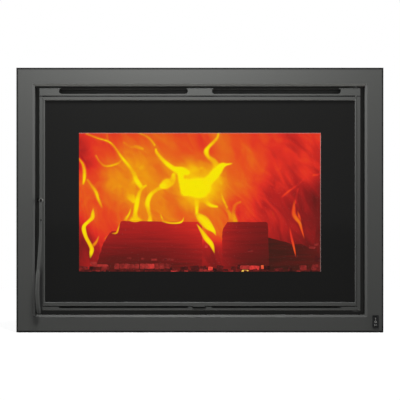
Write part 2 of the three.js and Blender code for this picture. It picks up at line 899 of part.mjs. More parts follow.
function blowerMotor() {
  const face = housingHalf + fitGap;
  const can = aboutX(rod(motorRadius, face, face + motorLength, 32));
  const foot = block(
    [face, face + motorLength], [-motorFootWidth / 2, motorFootWidth / 2], [blowerFloor, 0],
  );
  const boreEnd = face + shaftGrip + fitGap;
  const bore = aboutX(rod(wheelShaftRadius + turnGap, face - 1, boreEnd, 16));
  return cut(joined(can, foot), bore);
}

function blowerBearing() {
  const face = housingHalf + fitGap;
  const body = new THREE.Shape();
  const half = bearingWidth / 2;
  body.moveTo(-half, blowerFloor);
  body.lineTo(half, blowerFloor);
  body.lineTo(half, 0);
  body.absarc(0, 0, half, 0, Math.PI, false);
  body.closePath();
  body.holes.push(roundHole(0, 0, wheelShaftRadius + turnGap));
  return lengthwise(body, -face - bearingLength, -face, 12);
}

addPiece(blower, 'blower_housing', blowerHousing(), galvanised);
addPiece(blower, 'blower_wheel', blowerWheel(), brightSteel);
addPiece(blower, 'blower_motor', blowerMotor(), darkPaint);
addPiece(blower, 'blower_bearing', blowerBearing(), darkPaint);

function intakeGrille() {
  const half = grilleWidth / 2;
  const bottom = wallBottom;
  const top = wallBottom + grilleHeight;
  const rear = grilleRearY;
  const plate = block([-half, half], [rear - grilleSheet, rear], [bottom, top]);
  const slots = slotRow(
    grilleWidth - 2 * grilleRim, grilleSlotPitch, grilleSlotWidth,
    [rear - grilleSheet - 1, rear + 1], [bottom + grilleRim, top - grilleRim],
  );
  return cut(plate, ...slots);
}

addPiece(insert, 'intake_grille', intakeGrille(), galvanised);

// ---------------------------------------------------------------- electrics

const boxRearY = grilleRearY;
const boxFrontY = boxRearY - terminalBoxDepth;

function terminalBox() {
  const left = terminalBoxX - terminalBoxWidth / 2;
  const right = terminalBoxX + terminalBoxWidth / 2;
  const wall = terminalBoxWall;
  const low = terminalBoxMiddleZ - terminalBoxHeight / 2;
  const high = terminalBoxMiddleZ + terminalBoxHeight / 2;
  const shell = block([left, right], [boxFrontY, boxRearY], [low, high]);
  const inside = block(
    [left + wall, right - wall],
    [boxFrontY + wall, boxRearY - wall],
    [low + wall, high - wall],
  );
  const glandHole = rod(glandRadius + fitGap, boxRearY - 2 * wall, boxRearY + 1, 24);
  glandHole.translate(terminalBoxX, 0, terminalBoxMiddleZ);
  return cut(shell, inside, glandHole);
}

// The gland passes the casing back; its nut bears on the outside.
function cableGland() {
  const inner = cableRadius;
  return turned([
    [inner, boxRearY - glandNutThickness],
    [glandRadius, boxRearY - glandNutThickness],
    [glandRadius, casingBackY + fitGap],
    [glandNutRadius, casingBackY + fitGap],
    [glandNutRadius, casingBackY + fitGap + glandNutThickness],
    [glandRadius, casingBackY + fitGap + glandNutThickness],
    [glandRadius - 1, casingBackY + fitGap + glandTail],
    [inner, casingBackY + fitGap + glandTail],
    [inner, boxRearY - glandNutThickness],
  ], 24);
}

addPiece(insert, 'terminal_box', terminalBox(), blackPlastic);
addPiece(insert, 'cable_gland', cableGland(), blackPlastic, [terminalBoxX, 0, terminalBoxMiddleZ]);

// ---------------------------------------------------------------- fan switch

const fanSwitch = new THREE.Group();
const rockerAxisY = surroundFaceY + 1;
fanSwitch.position.set(switchX, rockerAxisY, switchFromBottom);
insert.add(fanSwitch);

// In this group the rocker tips about the X axis through the group's origin.
const switchFaceY = surroundFaceY - fitGap - switchBezelThickness - rockerAxisY;

function switchBody() {
  const halfWidth = switchWidth / 2;
  const halfHeight = switchHeight / 2;
  const bezel = block(
    [-halfWidth, halfWidth],
    [switchFaceY, switchFaceY + switchBezelThickness],
    [-halfHeight, halfHeight],
  );
  const body = block(
    [switchWall - halfWidth, halfWidth - switchWall],
    [switchFaceY + 0.5, switchFaceY + switchBezelThickness + switchBodyDepth],
    [switchWall - halfHeight, halfHeight - switchWall],
  );
  const swingRoom = (rockerHeight / 2) * Math.sin(THREE.MathUtils.degToRad(rockerSwing));
  const well = block(
    [-rockerWidth / 2 - fitGap, rockerWidth / 2 + fitGap],
    [switchFaceY - 1, switchFaceY + rockerDepth + 2 * swingRoom],
    [-rockerHeight / 2 - swingRoom, rockerHeight / 2 + swingRoom],
  );
  const pinHole = aboutX(rod(rockerPinRadius + turnGap, -halfWidth, halfWidth, 12));
  return cut(joined(bezel, body), well, pinHole);
}

// The rocker's face is a shallow vee, so that one end stands out when it is pressed.
function switchRocker() {
  const half = rockerHeight / 2;
  const face = switchFaceY - rockerProud;
  const back = face + rockerDepth;
  const side = outline([
    [face, -half],
    [face + rockerVee, 0],
    [face, half],
    [back - rockerHeel, half],
    [back, half / 2],
    [back, -half / 2],
    [back - rockerHeel, -half],
  ]);
  const paddle = lengthwise(side, -rockerWidth / 2, rockerWidth / 2);
  const pinHalf = switchWidth / 2 - switchWall - fitGap / 2;
  return joined(paddle, aboutX(rod(rockerPinRadius, -pinHalf, pinHalf, 12)));
}

addPiece(fanSwitch, 'switch_body', switchBody(), blackPlastic);
addPiece(fanSwitch, 'switch_rocker', switchRocker(), blackPlastic);

// ---------------------------------------------------------------- door

const door = new THREE.Group();
door.position.y = doorFaceY;
insert.add(door);

// In this group y counts back from the door's face.
const hingeX = doorHalf - hingeInset;
const handleX = handlePivotInset - doorHalf;
const flangeFrontY = doorDepth - doorSheet;
const slotOuter = doorHalf - slotEndRoom;

function railSlot(side) {
  const radius = topSlotDrop / 2 + 0.4;
  const height = doorTop - topSlotDrop + radius;
  const left = side > 0 ? slotInner : -slotOuter;
  const right = side > 0 ? slotOuter : -slotInner;
  const stadium = new THREE.Shape();
  stadium.moveTo(left + radius, height - radius);
  stadium.lineTo(right - radius, height - radius);
  stadium.absarc(right - radius, height, radius, -Math.PI / 2, Math.PI / 2, false);
  stadium.lineTo(left + radius, height + radius);
  stadium.absarc(left + radius, height, radius, Math.PI / 2, 1.5 * Math.PI, false);
  return facing(stadium, -1, topSlotFold, 10);
}

function doorFrame() {
  const sideFlange = doorHalf - fireOpenHalf;
  const lowFlange = fireOpenBottom - doorBottom;
  const highFlange = doorTop - fireOpenTop;
  const frame = mitredFrame(doorHalf, doorBottom, doorTop, [
    evenInset(0, doorDepth),
    evenInset(0, doorEdgeBevel),
    evenInset(doorEdgeBevel, 0),
    [stileLip, bottomRailLip, topRailLip, 0],
    [stileLip, bottomRailLip, topRailLip, doorSheet],
    evenInset(doorSheet, doorSheet),
    evenInset(doorSheet, flangeFrontY),
    [sideFlange, lowFlange, highFlange, flangeFrontY],
    [sideFlange, lowFlange, highFlange, doorDepth],
  ]);
  const notchHalf = sliderTabWidth / 2 + sliderNotchGap;
  const bottomSlots = [
    [-slotOuter, -slotInner],
    [sliderTabCentre - notchHalf, sliderTabCentre + notchHalf],
    [slotInner, slotOuter],
  ];
  const lipTop = doorBottom + bottomRailLip;
  const tools = bottomSlots.map((span) => (
    block(span, [-1, doorSheet + 1], [lipTop - bottomSlotHeight, lipTop + 1])
  ));
  tools.push(railSlot(-1), railSlot(1));
  const pinHoleRadius = hingePinRadius + turnGap;
  const pinHole = aboutZ(rod(pinHoleRadius, doorBottom - 1, doorTop + 1, 24));
  pinHole.translate(hingeX, hingeSetback, 0);
  tools.push(pinHole);
  const shaftHole = rod(latchShaftRadius + turnGap, -1, doorDepth + 1, 20);
  shaftHole.translate(handleX, 0, handlePivotHeight);
  tools.push(shaftHole);
  return cut(frame, ...tools);
}

const trayBackY = flangeFrontY - fitGap;
const gasketFrontY = bezelThickness + fitGap;
const glassFrontY = gasketFrontY + gasketThickness + fitGap;
const glassBackY = glassFrontY + glassThickness;
const windowFrontY = glassBackY + airWindowMargin;
const windowRearY = trayBackY - airWindowMargin;
const glassInset = traySheet + fitGap;

// The slider's strip stops short of the lower hinge pin at the end of its travel, and as many
// air windows as fit in it are spread about the middle one.
const stripLimit = hingeX - hingePinRadius - turnGap - sliderTravel;
const stripEnd = airWindowWidth + 2 * sliderTravel;
const airWindowPairs = Math.floor((stripLimit - stripEnd) / airWindowPitch);

function airWindow(x, bottom, top) {
  return block(
    [x - airWindowWidth / 2, x + airWindowWidth / 2],
    [windowFrontY, windowRearY],
    [bottom, top],
  );
}

// The bezel is a tray: a bevelled strip in front of the glass and a leg round its edge, with
// air windows through the lower and the upper leg.
function glassBezel() {
  const frame = mitredFrame(trayHalf, trayBottom, trayTop, [
    evenInset(0, trayBackY),
    evenInset(0, 0.5),
    evenInset(0.5, 0),
    [bezelSide - bezelBevel, bezelEnds - bezelBevel, bezelEnds - bezelBevel, 0],
    [bezelSide, bezelEnds, bezelEnds, bezelBevel],
    [bezelSide, bezelEnds, bezelEnds, bezelThickness],
    evenInset(traySheet, bezelThickness),
    evenInset(traySheet, trayBackY),
  ]);
  const tools = [];
  for (let index = -airWindowPairs; index <= airWindowPairs; index += 1) {
    const x = index * airWindowPitch;
    tools.push(airWindow(x, trayBottom - 1, trayBottom + traySheet + 1));
    tools.push(airWindow(x, trayTop - traySheet - 1, trayTop + 1));
  }
  return cut(frame, ...tools);
}

function glassGasket() {
  const edge = evenInset(glassInset, gasketFrontY);
  const inner = [bezelSide - fitGap, bezelEnds - fitGap, bezelEnds - fitGap, gasketFrontY];
  const rear = gasketFrontY + gasketThickness;
  return mitredFrame(trayHalf, trayBottom, trayTop, [
    edge,
    inner,
    [...inner.slice(0, 3), rear],
    [...edge.slice(0, 3), rear],
  ]);
}

const doorGlass = block(
  [glassInset - trayHalf, trayHalf - glassInset],
  [glassFrontY, glassBackY],
  [trayBottom + glassInset, trayTop - glassInset],
);

// A bent clip between the door's rear flange and the back of the glass.
function glassClip(side) {
  const outer = trayHalf - glassInset;
  const front = glassBackY + fitGap;
  const bend = [
    [outer, front],
    [outer - clipFoot, front],
    [outer - clipFoot, front + clipSheet],
    [outer - clipSheet, front + clipSheet],
    [outer - clipSheet, trayBackY - clipSheet],
    [outer - clipFoot, trayBackY - clipSheet],
    [outer - clipFoot, trayBackY],
    [outer, trayBackY],
  ];
  const shape = outline(bend.map(([x, y]) => [side * x, y]));
  return standing(shape, -clipLength / 2, clipLength / 2);
}

// The rope sits between the door's flange and the front plate, round the fire opening.
function doorSeal() {
  const reach = sealMargin + sealWidth;
  const front = doorDepth + fitGap;
  const rear = front + sealThickness;
  return mitredFrame(fireOpenHalf + reach, fireOpenBottom - reach, fireOpenTop + reach, [
    evenInset(0, rear - sealRound),
    evenInset(0, front + sealRound),
    evenInset(sealRound, front),
    evenInset(sealWidth - sealRound, front),
    evenInset(sealWidth, front + sealRound),
    evenInset(sealWidth, rear - sealRound),
    evenInset(sealWidth - sealRound, rear),
    evenInset(sealRound, rear),
  ]);
}

addPiece(door, 'door_frame', doorFrame(), anthracitePaint);
addPiece(door, 'glass_bezel', glassBezel(), anthracitePaint);
addPiece(door, 'door_glass', doorGlass, ceramicGlass);
addPiece(door, 'glass_gasket', glassGasket(), rope);
addPiece(door, 'door_seal', doorSeal(), rope);

const glassMiddleZ = (trayBottom + trayTop) / 2;
const clipPlaces = [[-1, -1], [1, -1], [-1, 1], [1, 1]];
clipPlaces.forEach(([side, level], index) => {
  const height = glassMiddleZ + (level * clipSpread) / 2;
  addPiece(door, `glass_clip_${index + 1}`, glassClip(side), galvanised, [0, 0, height]);
});

// ---------------------------------------------------------------- air slider

// A windowed strip that rides under the tray, with a neck and a tab through the groove.
function airSlider() {
  const bottom = trayBottom - grooveGap + fitGap;
  const top = trayBottom - fitGap;
  const stripHalf = airWindowPairs * airWindowPitch + stripEnd;
  const stripFront = windowFrontY - sliderFrontRim;
  const stripRear = windowRearY + sliderRearRim;
  const tabSpan = [sliderTabCentre - sliderTabWidth / 2, sliderTabCentre + sliderTabWidth / 2];
  const strip = block([-stripHalf, stripHalf], [stripFront, stripRear], [bottom, top]);
  const neck = block(tabSpan, [-sliderTabProud, stripFront + 1], [bottom, top]);
  const tab = block(
    tabSpan, [-sliderTabProud, sliderTabSheet - sliderTabProud], [bottom, bottom + sliderTabRise],
  );
  const tools = [];
  for (let index = -airWindowPairs; index <= airWindowPairs; index += 1) {
    tools.push(airWindow(index * airWindowPitch - sliderTravel, bottom - 1, top + 1));
  }
  return cut(joined(strip, neck, tab), ...tools);
}

addPiece(door, 'air_slider', airSlider(), anthracitePaint);

// ---------------------------------------------------------------- hinges

// A plate on the front frame, above or below the door, bored for the pin.
function hingePlate() {
  const half = hingePlateWidth / 2;
  const rear = wallY - fitGap - doorFaceY - hingeSetback;
  const shape = new THREE.Shape();
  shape.moveTo(half, 0);
  shape.lineTo(half, rear);
  shape.lineTo(-half, rear);
  shape.lineTo(-half, 0);
  shape.absarc(0, 0, half, Math.PI, 2 * Math.PI, false);
  shape.holes.push(roundHole(0, 0, hingePinRadius + fitGap));
  return standing(shape, -hingePlateThickness / 2, hingePlateThickness / 2, 10);
}

const hinges = new THREE.Group();
hinges.position.set(hingeX, doorFaceY + hingeSetback, 0);
insert.add(hinges);

// The plates stand in the middle of the gap above the door and as close below it.
const hingeGap = (doorTopGap - hingePlateThickness) / 2;
const topPlateZ = doorTop + hingeGap + hingePlateThickness / 2;
const bottomPlateZ = doorBottom - hingeGap - hingePlateThickness / 2;
const pinEndTop = trayTop + fitGap;
const pinEndBottom = trayBottom - grooveGap;
const topPin = rod(hingePinRadius, pinEndTop, topPlateZ + hingePlateThickness / 2, 20);
const bottomPin = rod(hingePinRadius, bottomPlateZ - hingePlateThickness / 2, pinEndBottom, 20);
addPiece(hinges, 'hinge_bracket_top', hingePlate(), darkPaint, [0, 0, topPlateZ]);
addPiece(hinges, 'hinge_bracket_bottom', hingePlate(), darkPaint, [0, 0, bottomPlateZ]);
addPiece(hinges, 'hinge_pin_top', aboutZ(topPin), brightSteel);
addPiece(hinges, 'hinge_pin_bottom', aboutZ(bottomPin), brightSteel);

// ---------------------------------------------------------------- handle and latch

const handle = new THREE.Group();
handle.position.set(handleX, doorFaceY, handlePivotHeight);
insert.add(handle);

// In this group the shaft turns about the Y axis through the group's origin.
const leverBackY = surroundFaceY - handleStandOff - doorFaceY;
const leverMiddleY = leverBackY - leverThickness / 2;

// The handle hangs straight below the pivot, then sweeps out to the left and bows towards the
// hand. This is the share of that sweep at a height: all of it at the middle of the grip.
function sweptShare(z) {
  const middle = leverLength + gripLength / 2;
  const past = (-z - middle) / (gripLength / 2);
  if (past > 0) {
    return 1 - (1 - handleReturn) * past * past;
  }
  const rise = Math.max(0, (-z - leverStraight) / (middle - leverStraight));
  return rise * rise * (3 - 2 * rise);
}

const handleRingSpacing = 6;

// The rings of a piece of the handle between two heights, from the bottom up.
function handleRings(low, high, size) {
  const steps = Math.ceil((high - low) / handleRingSpacing);
  const rings = [];
  for (let step = 0; step <= steps; step += 1) {
    const z = low + ((high - low) * step) / steps;
    const share = sweptShare(z);
    rings.push({
      x: -handleSweep * share,
      y: leverMiddleY - handleBow * share,
      z,
      ...size(z),
    });
  }
  return rings;
}

const handleSides = 12;
const leverSquareness = 3;
const gripSquareness = 2.4;
const gripTopZ = -leverLength;
const gripEndZ = gripTopZ - gripLength;

function handleLever() {
  const blade = handleRings(gripTopZ + fitGap, 0, () => (
    { width: leverWidth, depth: leverThickness }
  ));
  const headSteps = 4;
  for (let step = 1; step <= headSteps; step += 1) {
    const angle = (Math.PI / 2) * (step / (headSteps + 0.5));
    blade.push({
      x: 0,
      y: leverMiddleY,
      z: leverTop * Math.sin(angle),
      width: leverWidth * Math.cos(angle),
      depth: leverThickness,
    });
  }
  return stackedRings(blade, handleSides, leverSquareness);
}

function handleGrip() {
  const bar = handleRings(gripEndZ, gripTopZ, (z) => {
    const fromEnd = Math.min(z - gripEndZ, gripTopZ - z);
    const share = Math.min(1, gripEndShare + fromEnd / gripDepth);
    return { width: gripWidth * share, depth: gripDepth * share };
  });
  return stackedRings(bar, handleSides, gripSquareness);
}

const tongueFrontY = doorDepth + fitGap;

function latchShaft() {
  const collarRear = -fitGap;
  return turned([
    [0, leverBackY + fitGap],
    [latchCollarRadius, leverBackY + fitGap],
    [latchCollarRadius, collarRear],
    [latchShaftRadius, collarRear],
    [latchShaftRadius, tongueFrontY + tongueThickness],
    [0, tongueFrontY + tongueThickness],
  ], 24);
}

function latchTongue() {
  const reach = handlePivotInset + tongueReach;
  const half = tongueHeight / 2;
  const shape = new THREE.Shape();
  shape.moveTo(-reach, -half);
  shape.lineTo(0, -half);
  shape.absarc(0, 0, half, -Math.PI / 2, Math.PI / 2, false);
  shape.lineTo(-reach, half);
  shape.closePath();
  shape.holes.push(roundHole(0, 0, latchShaftRadius + fitGap));
  return facing(shape, tongueFrontY, tongueFrontY + tongueThickness, 16);
}

addPiece(handle, 'handle_lever', handleLever(), anthracitePaint);
addPiece(handle, 'handle_grip', handleGrip(), anthracitePaint);
addPiece(handle, 'latch_shaft', latchShaft(), brightSteel);
addPiece(handle, 'latch_tongue', latchTongue(), blackSteel);

// An angle on the front frame; the tongue comes to rest on its ledge.
function catchPlate() {
  const rear = wallY - fitGap - doorFaceY;
  const top = -tongueHeight / 2 - fitGap;
  const left = -handlePivotInset - tongueReach;
  const right = left + tongueReach - catchDoorGap;
  const angle = outline([
    [rear, top],
    [rear - catchLedge, top],
    [rear - catchLedge, top - catchSheet],
    [rear - catchSheet, top - catchSheet],
    [rear - catchSheet, top - catchHeight],
    [rear, top - catchHeight],
  ]);
  return lengthwise(angle, left, right);
}

const catchSeat = new THREE.Group();
catchSeat.position.copy(handle.position);
insert.add(catchSeat);
addPiece(catchSeat, 'catch_plate', catchPlate(), darkPaint);

export default insert;
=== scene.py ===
"""Built-in fireplace insert: anthracite steel surround and door, black-edged glass, wood fire."""

import math
import random

import bpy
import numpy as np
from mathutils import Matrix, Vector, noise


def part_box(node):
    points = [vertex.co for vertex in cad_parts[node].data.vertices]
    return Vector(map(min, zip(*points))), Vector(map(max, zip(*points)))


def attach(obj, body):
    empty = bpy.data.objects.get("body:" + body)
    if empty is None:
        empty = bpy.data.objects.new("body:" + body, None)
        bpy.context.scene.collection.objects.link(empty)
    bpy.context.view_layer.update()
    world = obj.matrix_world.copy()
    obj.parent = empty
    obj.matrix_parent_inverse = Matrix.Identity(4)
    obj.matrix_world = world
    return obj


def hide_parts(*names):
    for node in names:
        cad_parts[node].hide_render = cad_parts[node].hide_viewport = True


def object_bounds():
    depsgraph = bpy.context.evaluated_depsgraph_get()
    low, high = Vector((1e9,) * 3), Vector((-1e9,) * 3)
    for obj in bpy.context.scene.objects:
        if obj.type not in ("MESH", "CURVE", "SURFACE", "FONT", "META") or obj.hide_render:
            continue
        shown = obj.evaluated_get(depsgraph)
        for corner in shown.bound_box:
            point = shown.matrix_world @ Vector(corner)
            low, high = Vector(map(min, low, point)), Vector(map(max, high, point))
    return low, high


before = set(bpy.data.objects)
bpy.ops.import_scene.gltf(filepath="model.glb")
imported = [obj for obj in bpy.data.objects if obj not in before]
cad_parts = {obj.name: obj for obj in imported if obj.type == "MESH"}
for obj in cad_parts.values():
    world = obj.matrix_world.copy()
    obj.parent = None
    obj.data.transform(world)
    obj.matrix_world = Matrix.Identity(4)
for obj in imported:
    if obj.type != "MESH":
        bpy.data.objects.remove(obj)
cad_low, cad_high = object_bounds()

# ---- Camera. The insert is seen straight from the front through a long lens, so that its
# front comes out without visible perspective and fills the frame as it does when built in.

camera_back = 2.858
eye_x, eye_height = 0.0002, 0.2527
face_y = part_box("surround_frame")[0].y
camera_data = bpy.data.cameras.new("front_camera")
camera_data.sensor_width = 36.0
camera_data.lens = 135.0
camera_data.clip_end = 60.0
camera = bpy.data.objects.new("front_camera", camera_data)
camera.location = (eye_x, face_y - camera_back, eye_height)
camera.rotation_euler = (math.radians(90), 0, 0)
bpy.context.scene.collection.objects.link(camera)
bpy.context.scene.camera = camera
bpy.context.scene.view_settings.view_transform = "Standard"

# ---- Light. A small soft box hangs above the top edge, two weak ones stand at the sides and a
# wide one behind; the room is white where it is seen, and dimmer where metal mirrors it or it
# only gives light.


def soft_box(name, place, aim, size, watts):
    data = bpy.data.lights.new(name, "AREA")
    data.shape = "DISK"
    data.size = size
    data.energy = watts
    lamp = bpy.data.objects.new(name, data)
    lamp.location = place
    lamp.rotation_euler = (Vector(aim) - Vector(place)).to_track_quat("-Z", "Y").to_euler()
    bpy.context.scene.collection.objects.link(lamp)


soft_box("overhead_box", (-0.07, -0.64, 0.94), (-0.04, -0.22, 0.40), 0.30, 6.9)
soft_box("left_side_box", (-1.7, -0.47, 0.50), (0.3, -0.22, 0.25), 0.5, 6.4)
soft_box("right_side_box", (1.7, -0.47, 0.50), (-0.3, -0.22, 0.25), 0.5, 5.2)
soft_box("rear_box", (1.2, 2.6, 2.0), (0, 0, 0.25), 1.6, 22)


def feed(owner, value, socket):
    """Gives a socket a number or a colour, or links another node's output to it."""
    if isinstance(value, bpy.types.NodeSocket):
        owner.node_tree.links.new(value, socket)
    else:
        socket.default_value = value


def reckon(owner, kind, *values):
    """One step of arithmetic with values, such as their MAXIMUM."""
    made = owner.node_tree.nodes.new("ShaderNodeMath")
    made.operation = kind
    for value, socket in zip(values, made.inputs):
        feed(owner, value, socket)
    return made.outputs[0]


def span(owner, value, low, high, to_low, to_high):
    """A value from one span brought to another, held at the ends."""
    made = owner.node_tree.nodes.new("ShaderNodeMapRange")
    levels = {"Value": value, "From Min": low, "From Max": high, "To Min": to_low, "To Max": to_high}
    for name, level in levels.items():
        feed(owner, level, made.inputs[name])
    return made.outputs["Result"]


def rays(owner, kind):
    """1 for rays of a kind: Camera, Transmission or Glossy."""
    return owner.node_tree.nodes.new("ShaderNodeLightPath").outputs["Is " + kind + " Ray"]


def seen_rays(owner):
    """1 for rays from the eye, and for those that glass lets through."""
    return reckon(owner, "MAXIMUM", rays(owner, "Camera"), rays(owner, "Transmission"))


dim_room, mirrored_room = 0.08, 0.6
room = bpy.data.worlds.new("room")
bpy.context.scene.world = room
room.use_nodes = True
background = room.node_tree.nodes["Background"]
background.inputs["Color"].default_value = (1, 1, 1, 1)
unseen_room = span(room, rays(room, "Glossy"), 0, 1, dim_room, mirrored_room)
feed(room, reckon(room, "MAXIMUM", seen_rays(room), unseen_room), background.inputs["Strength"])

# ---- Floor. A plain white studio floor that keeps the shadow of the insert and runs out into
# the white room. It gives back little light, so that the front stays darker at its foot, and
# metal mirrors it as pale grey.

floor_size, floor_gap = 24, 0.0005
fade_start, fade_end = 0.6, 1.3
bpy.ops.object.select_all(action="DESELECT")
bpy.ops.mesh.primitive_grid_add(x_subdivisions=4, y_subdivisions=4, size=floor_size)
floor = bpy.context.object
floor.name = "floor"
floor.data.transform(Matrix.Translation((0, 0, cad_low.z - floor_gap)))
floor_finish = bpy.data.materials.new("white_floor")
floor_finish.use_nodes = True
floor_nodes = floor_finish.node_tree.nodes
floor_nodes.clear()


def floor_shader(kind, grey, **levels):
    shader = floor_nodes.new("ShaderNode" + kind)
    shader.inputs["Color"].default_value = (grey, grey, grey, 1)
    for name, level in levels.items():
        shader.inputs[name].default_value = level
    return shader.outputs[0]


def floor_mix(*values):
    """The share of the second shader, the first shader and the second."""
    mix = floor_nodes.new("ShaderNodeMixShader")
    for value, socket in zip(values, mix.inputs):
        feed(floor_finish, value, socket)
    return mix.outputs[0]


lit = floor_nodes.new("ShaderNodeAddShader")
feed(floor_finish, floor_shader("BsdfDiffuse", 0.85), lit.inputs[0])
feed(floor_finish, floor_shader("Emission", 1, Strength=0.78), lit.inputs[1])
distance = floor_nodes.new("ShaderNodeVectorMath")
distance.operation = "LENGTH"
feed(floor_finish, floor_nodes.new("ShaderNodeTexCoord").outputs["Object"], distance.inputs[0])
fade = span(floor_finish, distance.outputs["Value"], fade_start, fade_end, 0, 1)
shown = floor_mix(fade, lit.outputs[0], floor_shader("Emission", 1, Strength=1))
unseen = floor_mix(rays(floor_finish, "Glossy"), floor_shader("BsdfDiffuse", 0.15),
                   floor_shader("Emission", 1, Strength=0.45))
floor_output = floor_nodes.new("ShaderNodeOutputMaterial")
feed(floor_finish, floor_mix(seen_rays(floor_finish), unseen, shown), floor_output.inputs["Surface"])
floor.data.materials.append(floor_finish)

# ---- Casing. Folded galvanised sheet with its zinc spangle, closed by a dark-painted front
# plate; the spigots for hot air are the same zinc, the flue collar is black steel.


def colour(red, green, blue):
    """A colour as it is named on a paint card, from 0 to 255, for a shader."""
    levels = [value / 255 for value in (red, green, blue)]
    linear = [v / 12.92 if v <= 0.04045 else ((v + 0.055) / 1.055) ** 2.4 for v in levels]
    return (*linear, 1)


def shade(finish, socket, value):
    """Gives a socket of the finish's shader a number or a colour, or another node's output."""
    feed(finish, value, finish.node_tree.nodes["Principled BSDF"].inputs[socket])


def new_finish(name, roughness, metallic=0.0, gloss=0.5):
    finish = bpy.data.materials.new(name)
    finish.use_nodes = True
    shade(finish, "Roughness", roughness)
    shade(finish, "Metallic", metallic)
    shade(finish, "Specular IOR Level", gloss)
    return finish


def texture(finish, kind, stretch=(1, 1, 1), output=0, lean=0.0, **settings):
    """A texture in the piece's own metres; stretch is how often it repeats each way, and lean
    turns it about Y."""
    nodes = finish.node_tree.nodes
    place = nodes.new("ShaderNodeTexCoord").outputs["Object"]
    for socket, value in (("Rotation", (0, lean, 0)), ("Scale", stretch)):
        mapping = nodes.new("ShaderNodeMapping")
        mapping.inputs[socket].default_value = value
        feed(finish, place, mapping.inputs["Vector"])
        place = mapping.outputs["Vector"]
    made = nodes.new("ShaderNodeTex" + kind)
    feed(finish, place, made.inputs["Vector"])
    for name, value in settings.items():
        made.inputs[name].default_value = value
    return made.outputs[output]


def tones(finish, value, *stops):
    """Colours along a value, from pairs of its level and a colour of the paint card."""
    ramp = finish.node_tree.nodes.new("ShaderNodeValToRGB")
    elements = ramp.color_ramp.elements
    for element, (place, tone) in zip(elements, (stops[0], stops[-1])):
        element.position = place
        element.color = colour(*tone)
    for place, tone in stops[1:-1]:
        elements.new(place).color = colour(*tone)
    feed(finish, value, ramp.inputs["Fac"])
    return ramp.outputs["Color"]


def relief(finish, value, depth):
    """Bumps of a depth in metres from a value."""
    bump = finish.node_tree.nodes.new("ShaderNodeBump")
    bump.inputs["Distance"].default_value = depth
    feed(finish, value, bump.inputs["Height"])
    shade(finish, "Normal", bump.outputs["Normal"])


def grained_finish(name, look, scale, detail, depth, *stops):
    """A finish whose tones and bumps follow one noise; look is its roughness, metal and gloss."""
    finish = new_finish(name, *look)
    grain = texture(finish, "Noise", Scale=scale, Detail=detail)
    shade(finish, "Base Color", tones(finish, grain, *stops))
    relief(finish, grain, depth)
    return finish


def dress(finish, *names):
    """Gives CAD nodes, or pieces, a finish."""
    for name in names:
        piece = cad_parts[name] if isinstance(name, str) else name
        piece.data.materials.clear()
        piece.data.materials.append(finish)


zinc = new_finish("galvanised_sheet", 0.42, 0.9)
crystals = zinc.node_tree.nodes.new("ShaderNodeSeparateColor")
feed(zinc, texture(zinc, "Voronoi", output=1, Scale=90.0), crystals.inputs["Color"])
shade(zinc, "Base Color", tones(zinc, crystals.outputs[0], (0, (150, 153, 155)), (1, (172, 175, 177))))
shade(zinc, "Roughness", span(zinc, crystals.outputs[1], 0, 1, 0.38, 0.47))
relief(zinc, texture(zinc, "Noise", Scale=25.0, Detail=3.0), 0.0004)
dress(zinc, "casing_left_side", "casing_right_side", "casing_back", "casing_top", "casing_base",
      "surround_bracket_left", "surround_bracket_right", "intake_grille")

dark_paint = grained_finish("dark_paint", (0.6, 0.0, 0.3), 900.0, 2.0, 0.0001,
                            (0.3, (22, 22, 22)), (0.7, (32, 32, 31)))
# The dark paint glows faintly: a painted fill light that lifts the shade in gaps and slots.
shade(dark_paint, "Emission Color", colour(92, 92, 90))
shade(dark_paint, "Emission Strength", 0.09)
dress(dark_paint, "front_frame", "hinge_bracket_top", "hinge_bracket_bottom", "blower_bearing")


def pick(*pieces):
    bpy.ops.object.select_all(action="DESELECT")
    for piece in pieces:
        piece.select_set(True)
    bpy.context.view_layer.objects.active = pieces[0]


def use_modifier(piece, kind, **settings):
    modifier = piece.modifiers.new(kind, kind)
    for name, value in settings.items():
        setattr(modifier, name, value)
    bpy.ops.object.modifier_apply(modifier=modifier.name)


def smoothed(node, name, finish, body="casing", angle=35, rounding=0.0):
    """A merged copy of a round CAD piece with smooth shading and softened edges."""
    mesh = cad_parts[node].data.copy()
    mesh.materials.clear()
    piece = bpy.data.objects.new(name, mesh)
    bpy.context.scene.collection.objects.link(piece)
    pick(piece)
    bpy.ops.object.mode_set(mode="EDIT")
    bpy.ops.mesh.select_all(action="SELECT")
    bpy.ops.mesh.remove_doubles(threshold=0.00001)
    bpy.ops.mesh.dissolve_limited(angle_limit=math.radians(0.5))
    bpy.ops.object.mode_set(mode="OBJECT")
    if rounding:
        use_modifier(piece, "BEVEL", width=rounding, segments=2, angle_limit=math.radians(angle))
    bpy.ops.object.shade_smooth_by_angle(angle=math.radians(angle))
    piece.data.materials.append(finish)
    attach(piece, body)
    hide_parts(node)


smoothed("hot_air_spigot_left", "left_hot_air_spigot", zinc, rounding=0.0004)
smoothed("hot_air_spigot_right", "right_hot_air_spigot", zinc, rounding=0.0004)

black_steel = grained_finish("firebox_steel", (0.62, 0.35, 0.4), 30.0, 6.0, 0.0005,
                             (0.3, (28, 27, 26)), (0.6, (42, 40, 38)), (0.8, (58, 50, 44)))
smoothed("flue_collar", "smoke_collar", black_steel, rounding=0.0006)

# ---- Firebox. Welded black steel plate, lined with pressed fire-clay boards and bricks under
# patchy soot; a loose baffle board lies above the fire.

dress(black_steel, "firebox_left_wall", "firebox_right_wall", "firebox_back_wall", "firebox_roof",
      "firebox_floor")


def plain_tone(finish):
    """The tones that a finish has before another colour is blended in."""
    return finish.node_tree.nodes["Principled BSDF"].inputs["Base Color"].links[0].from_socket


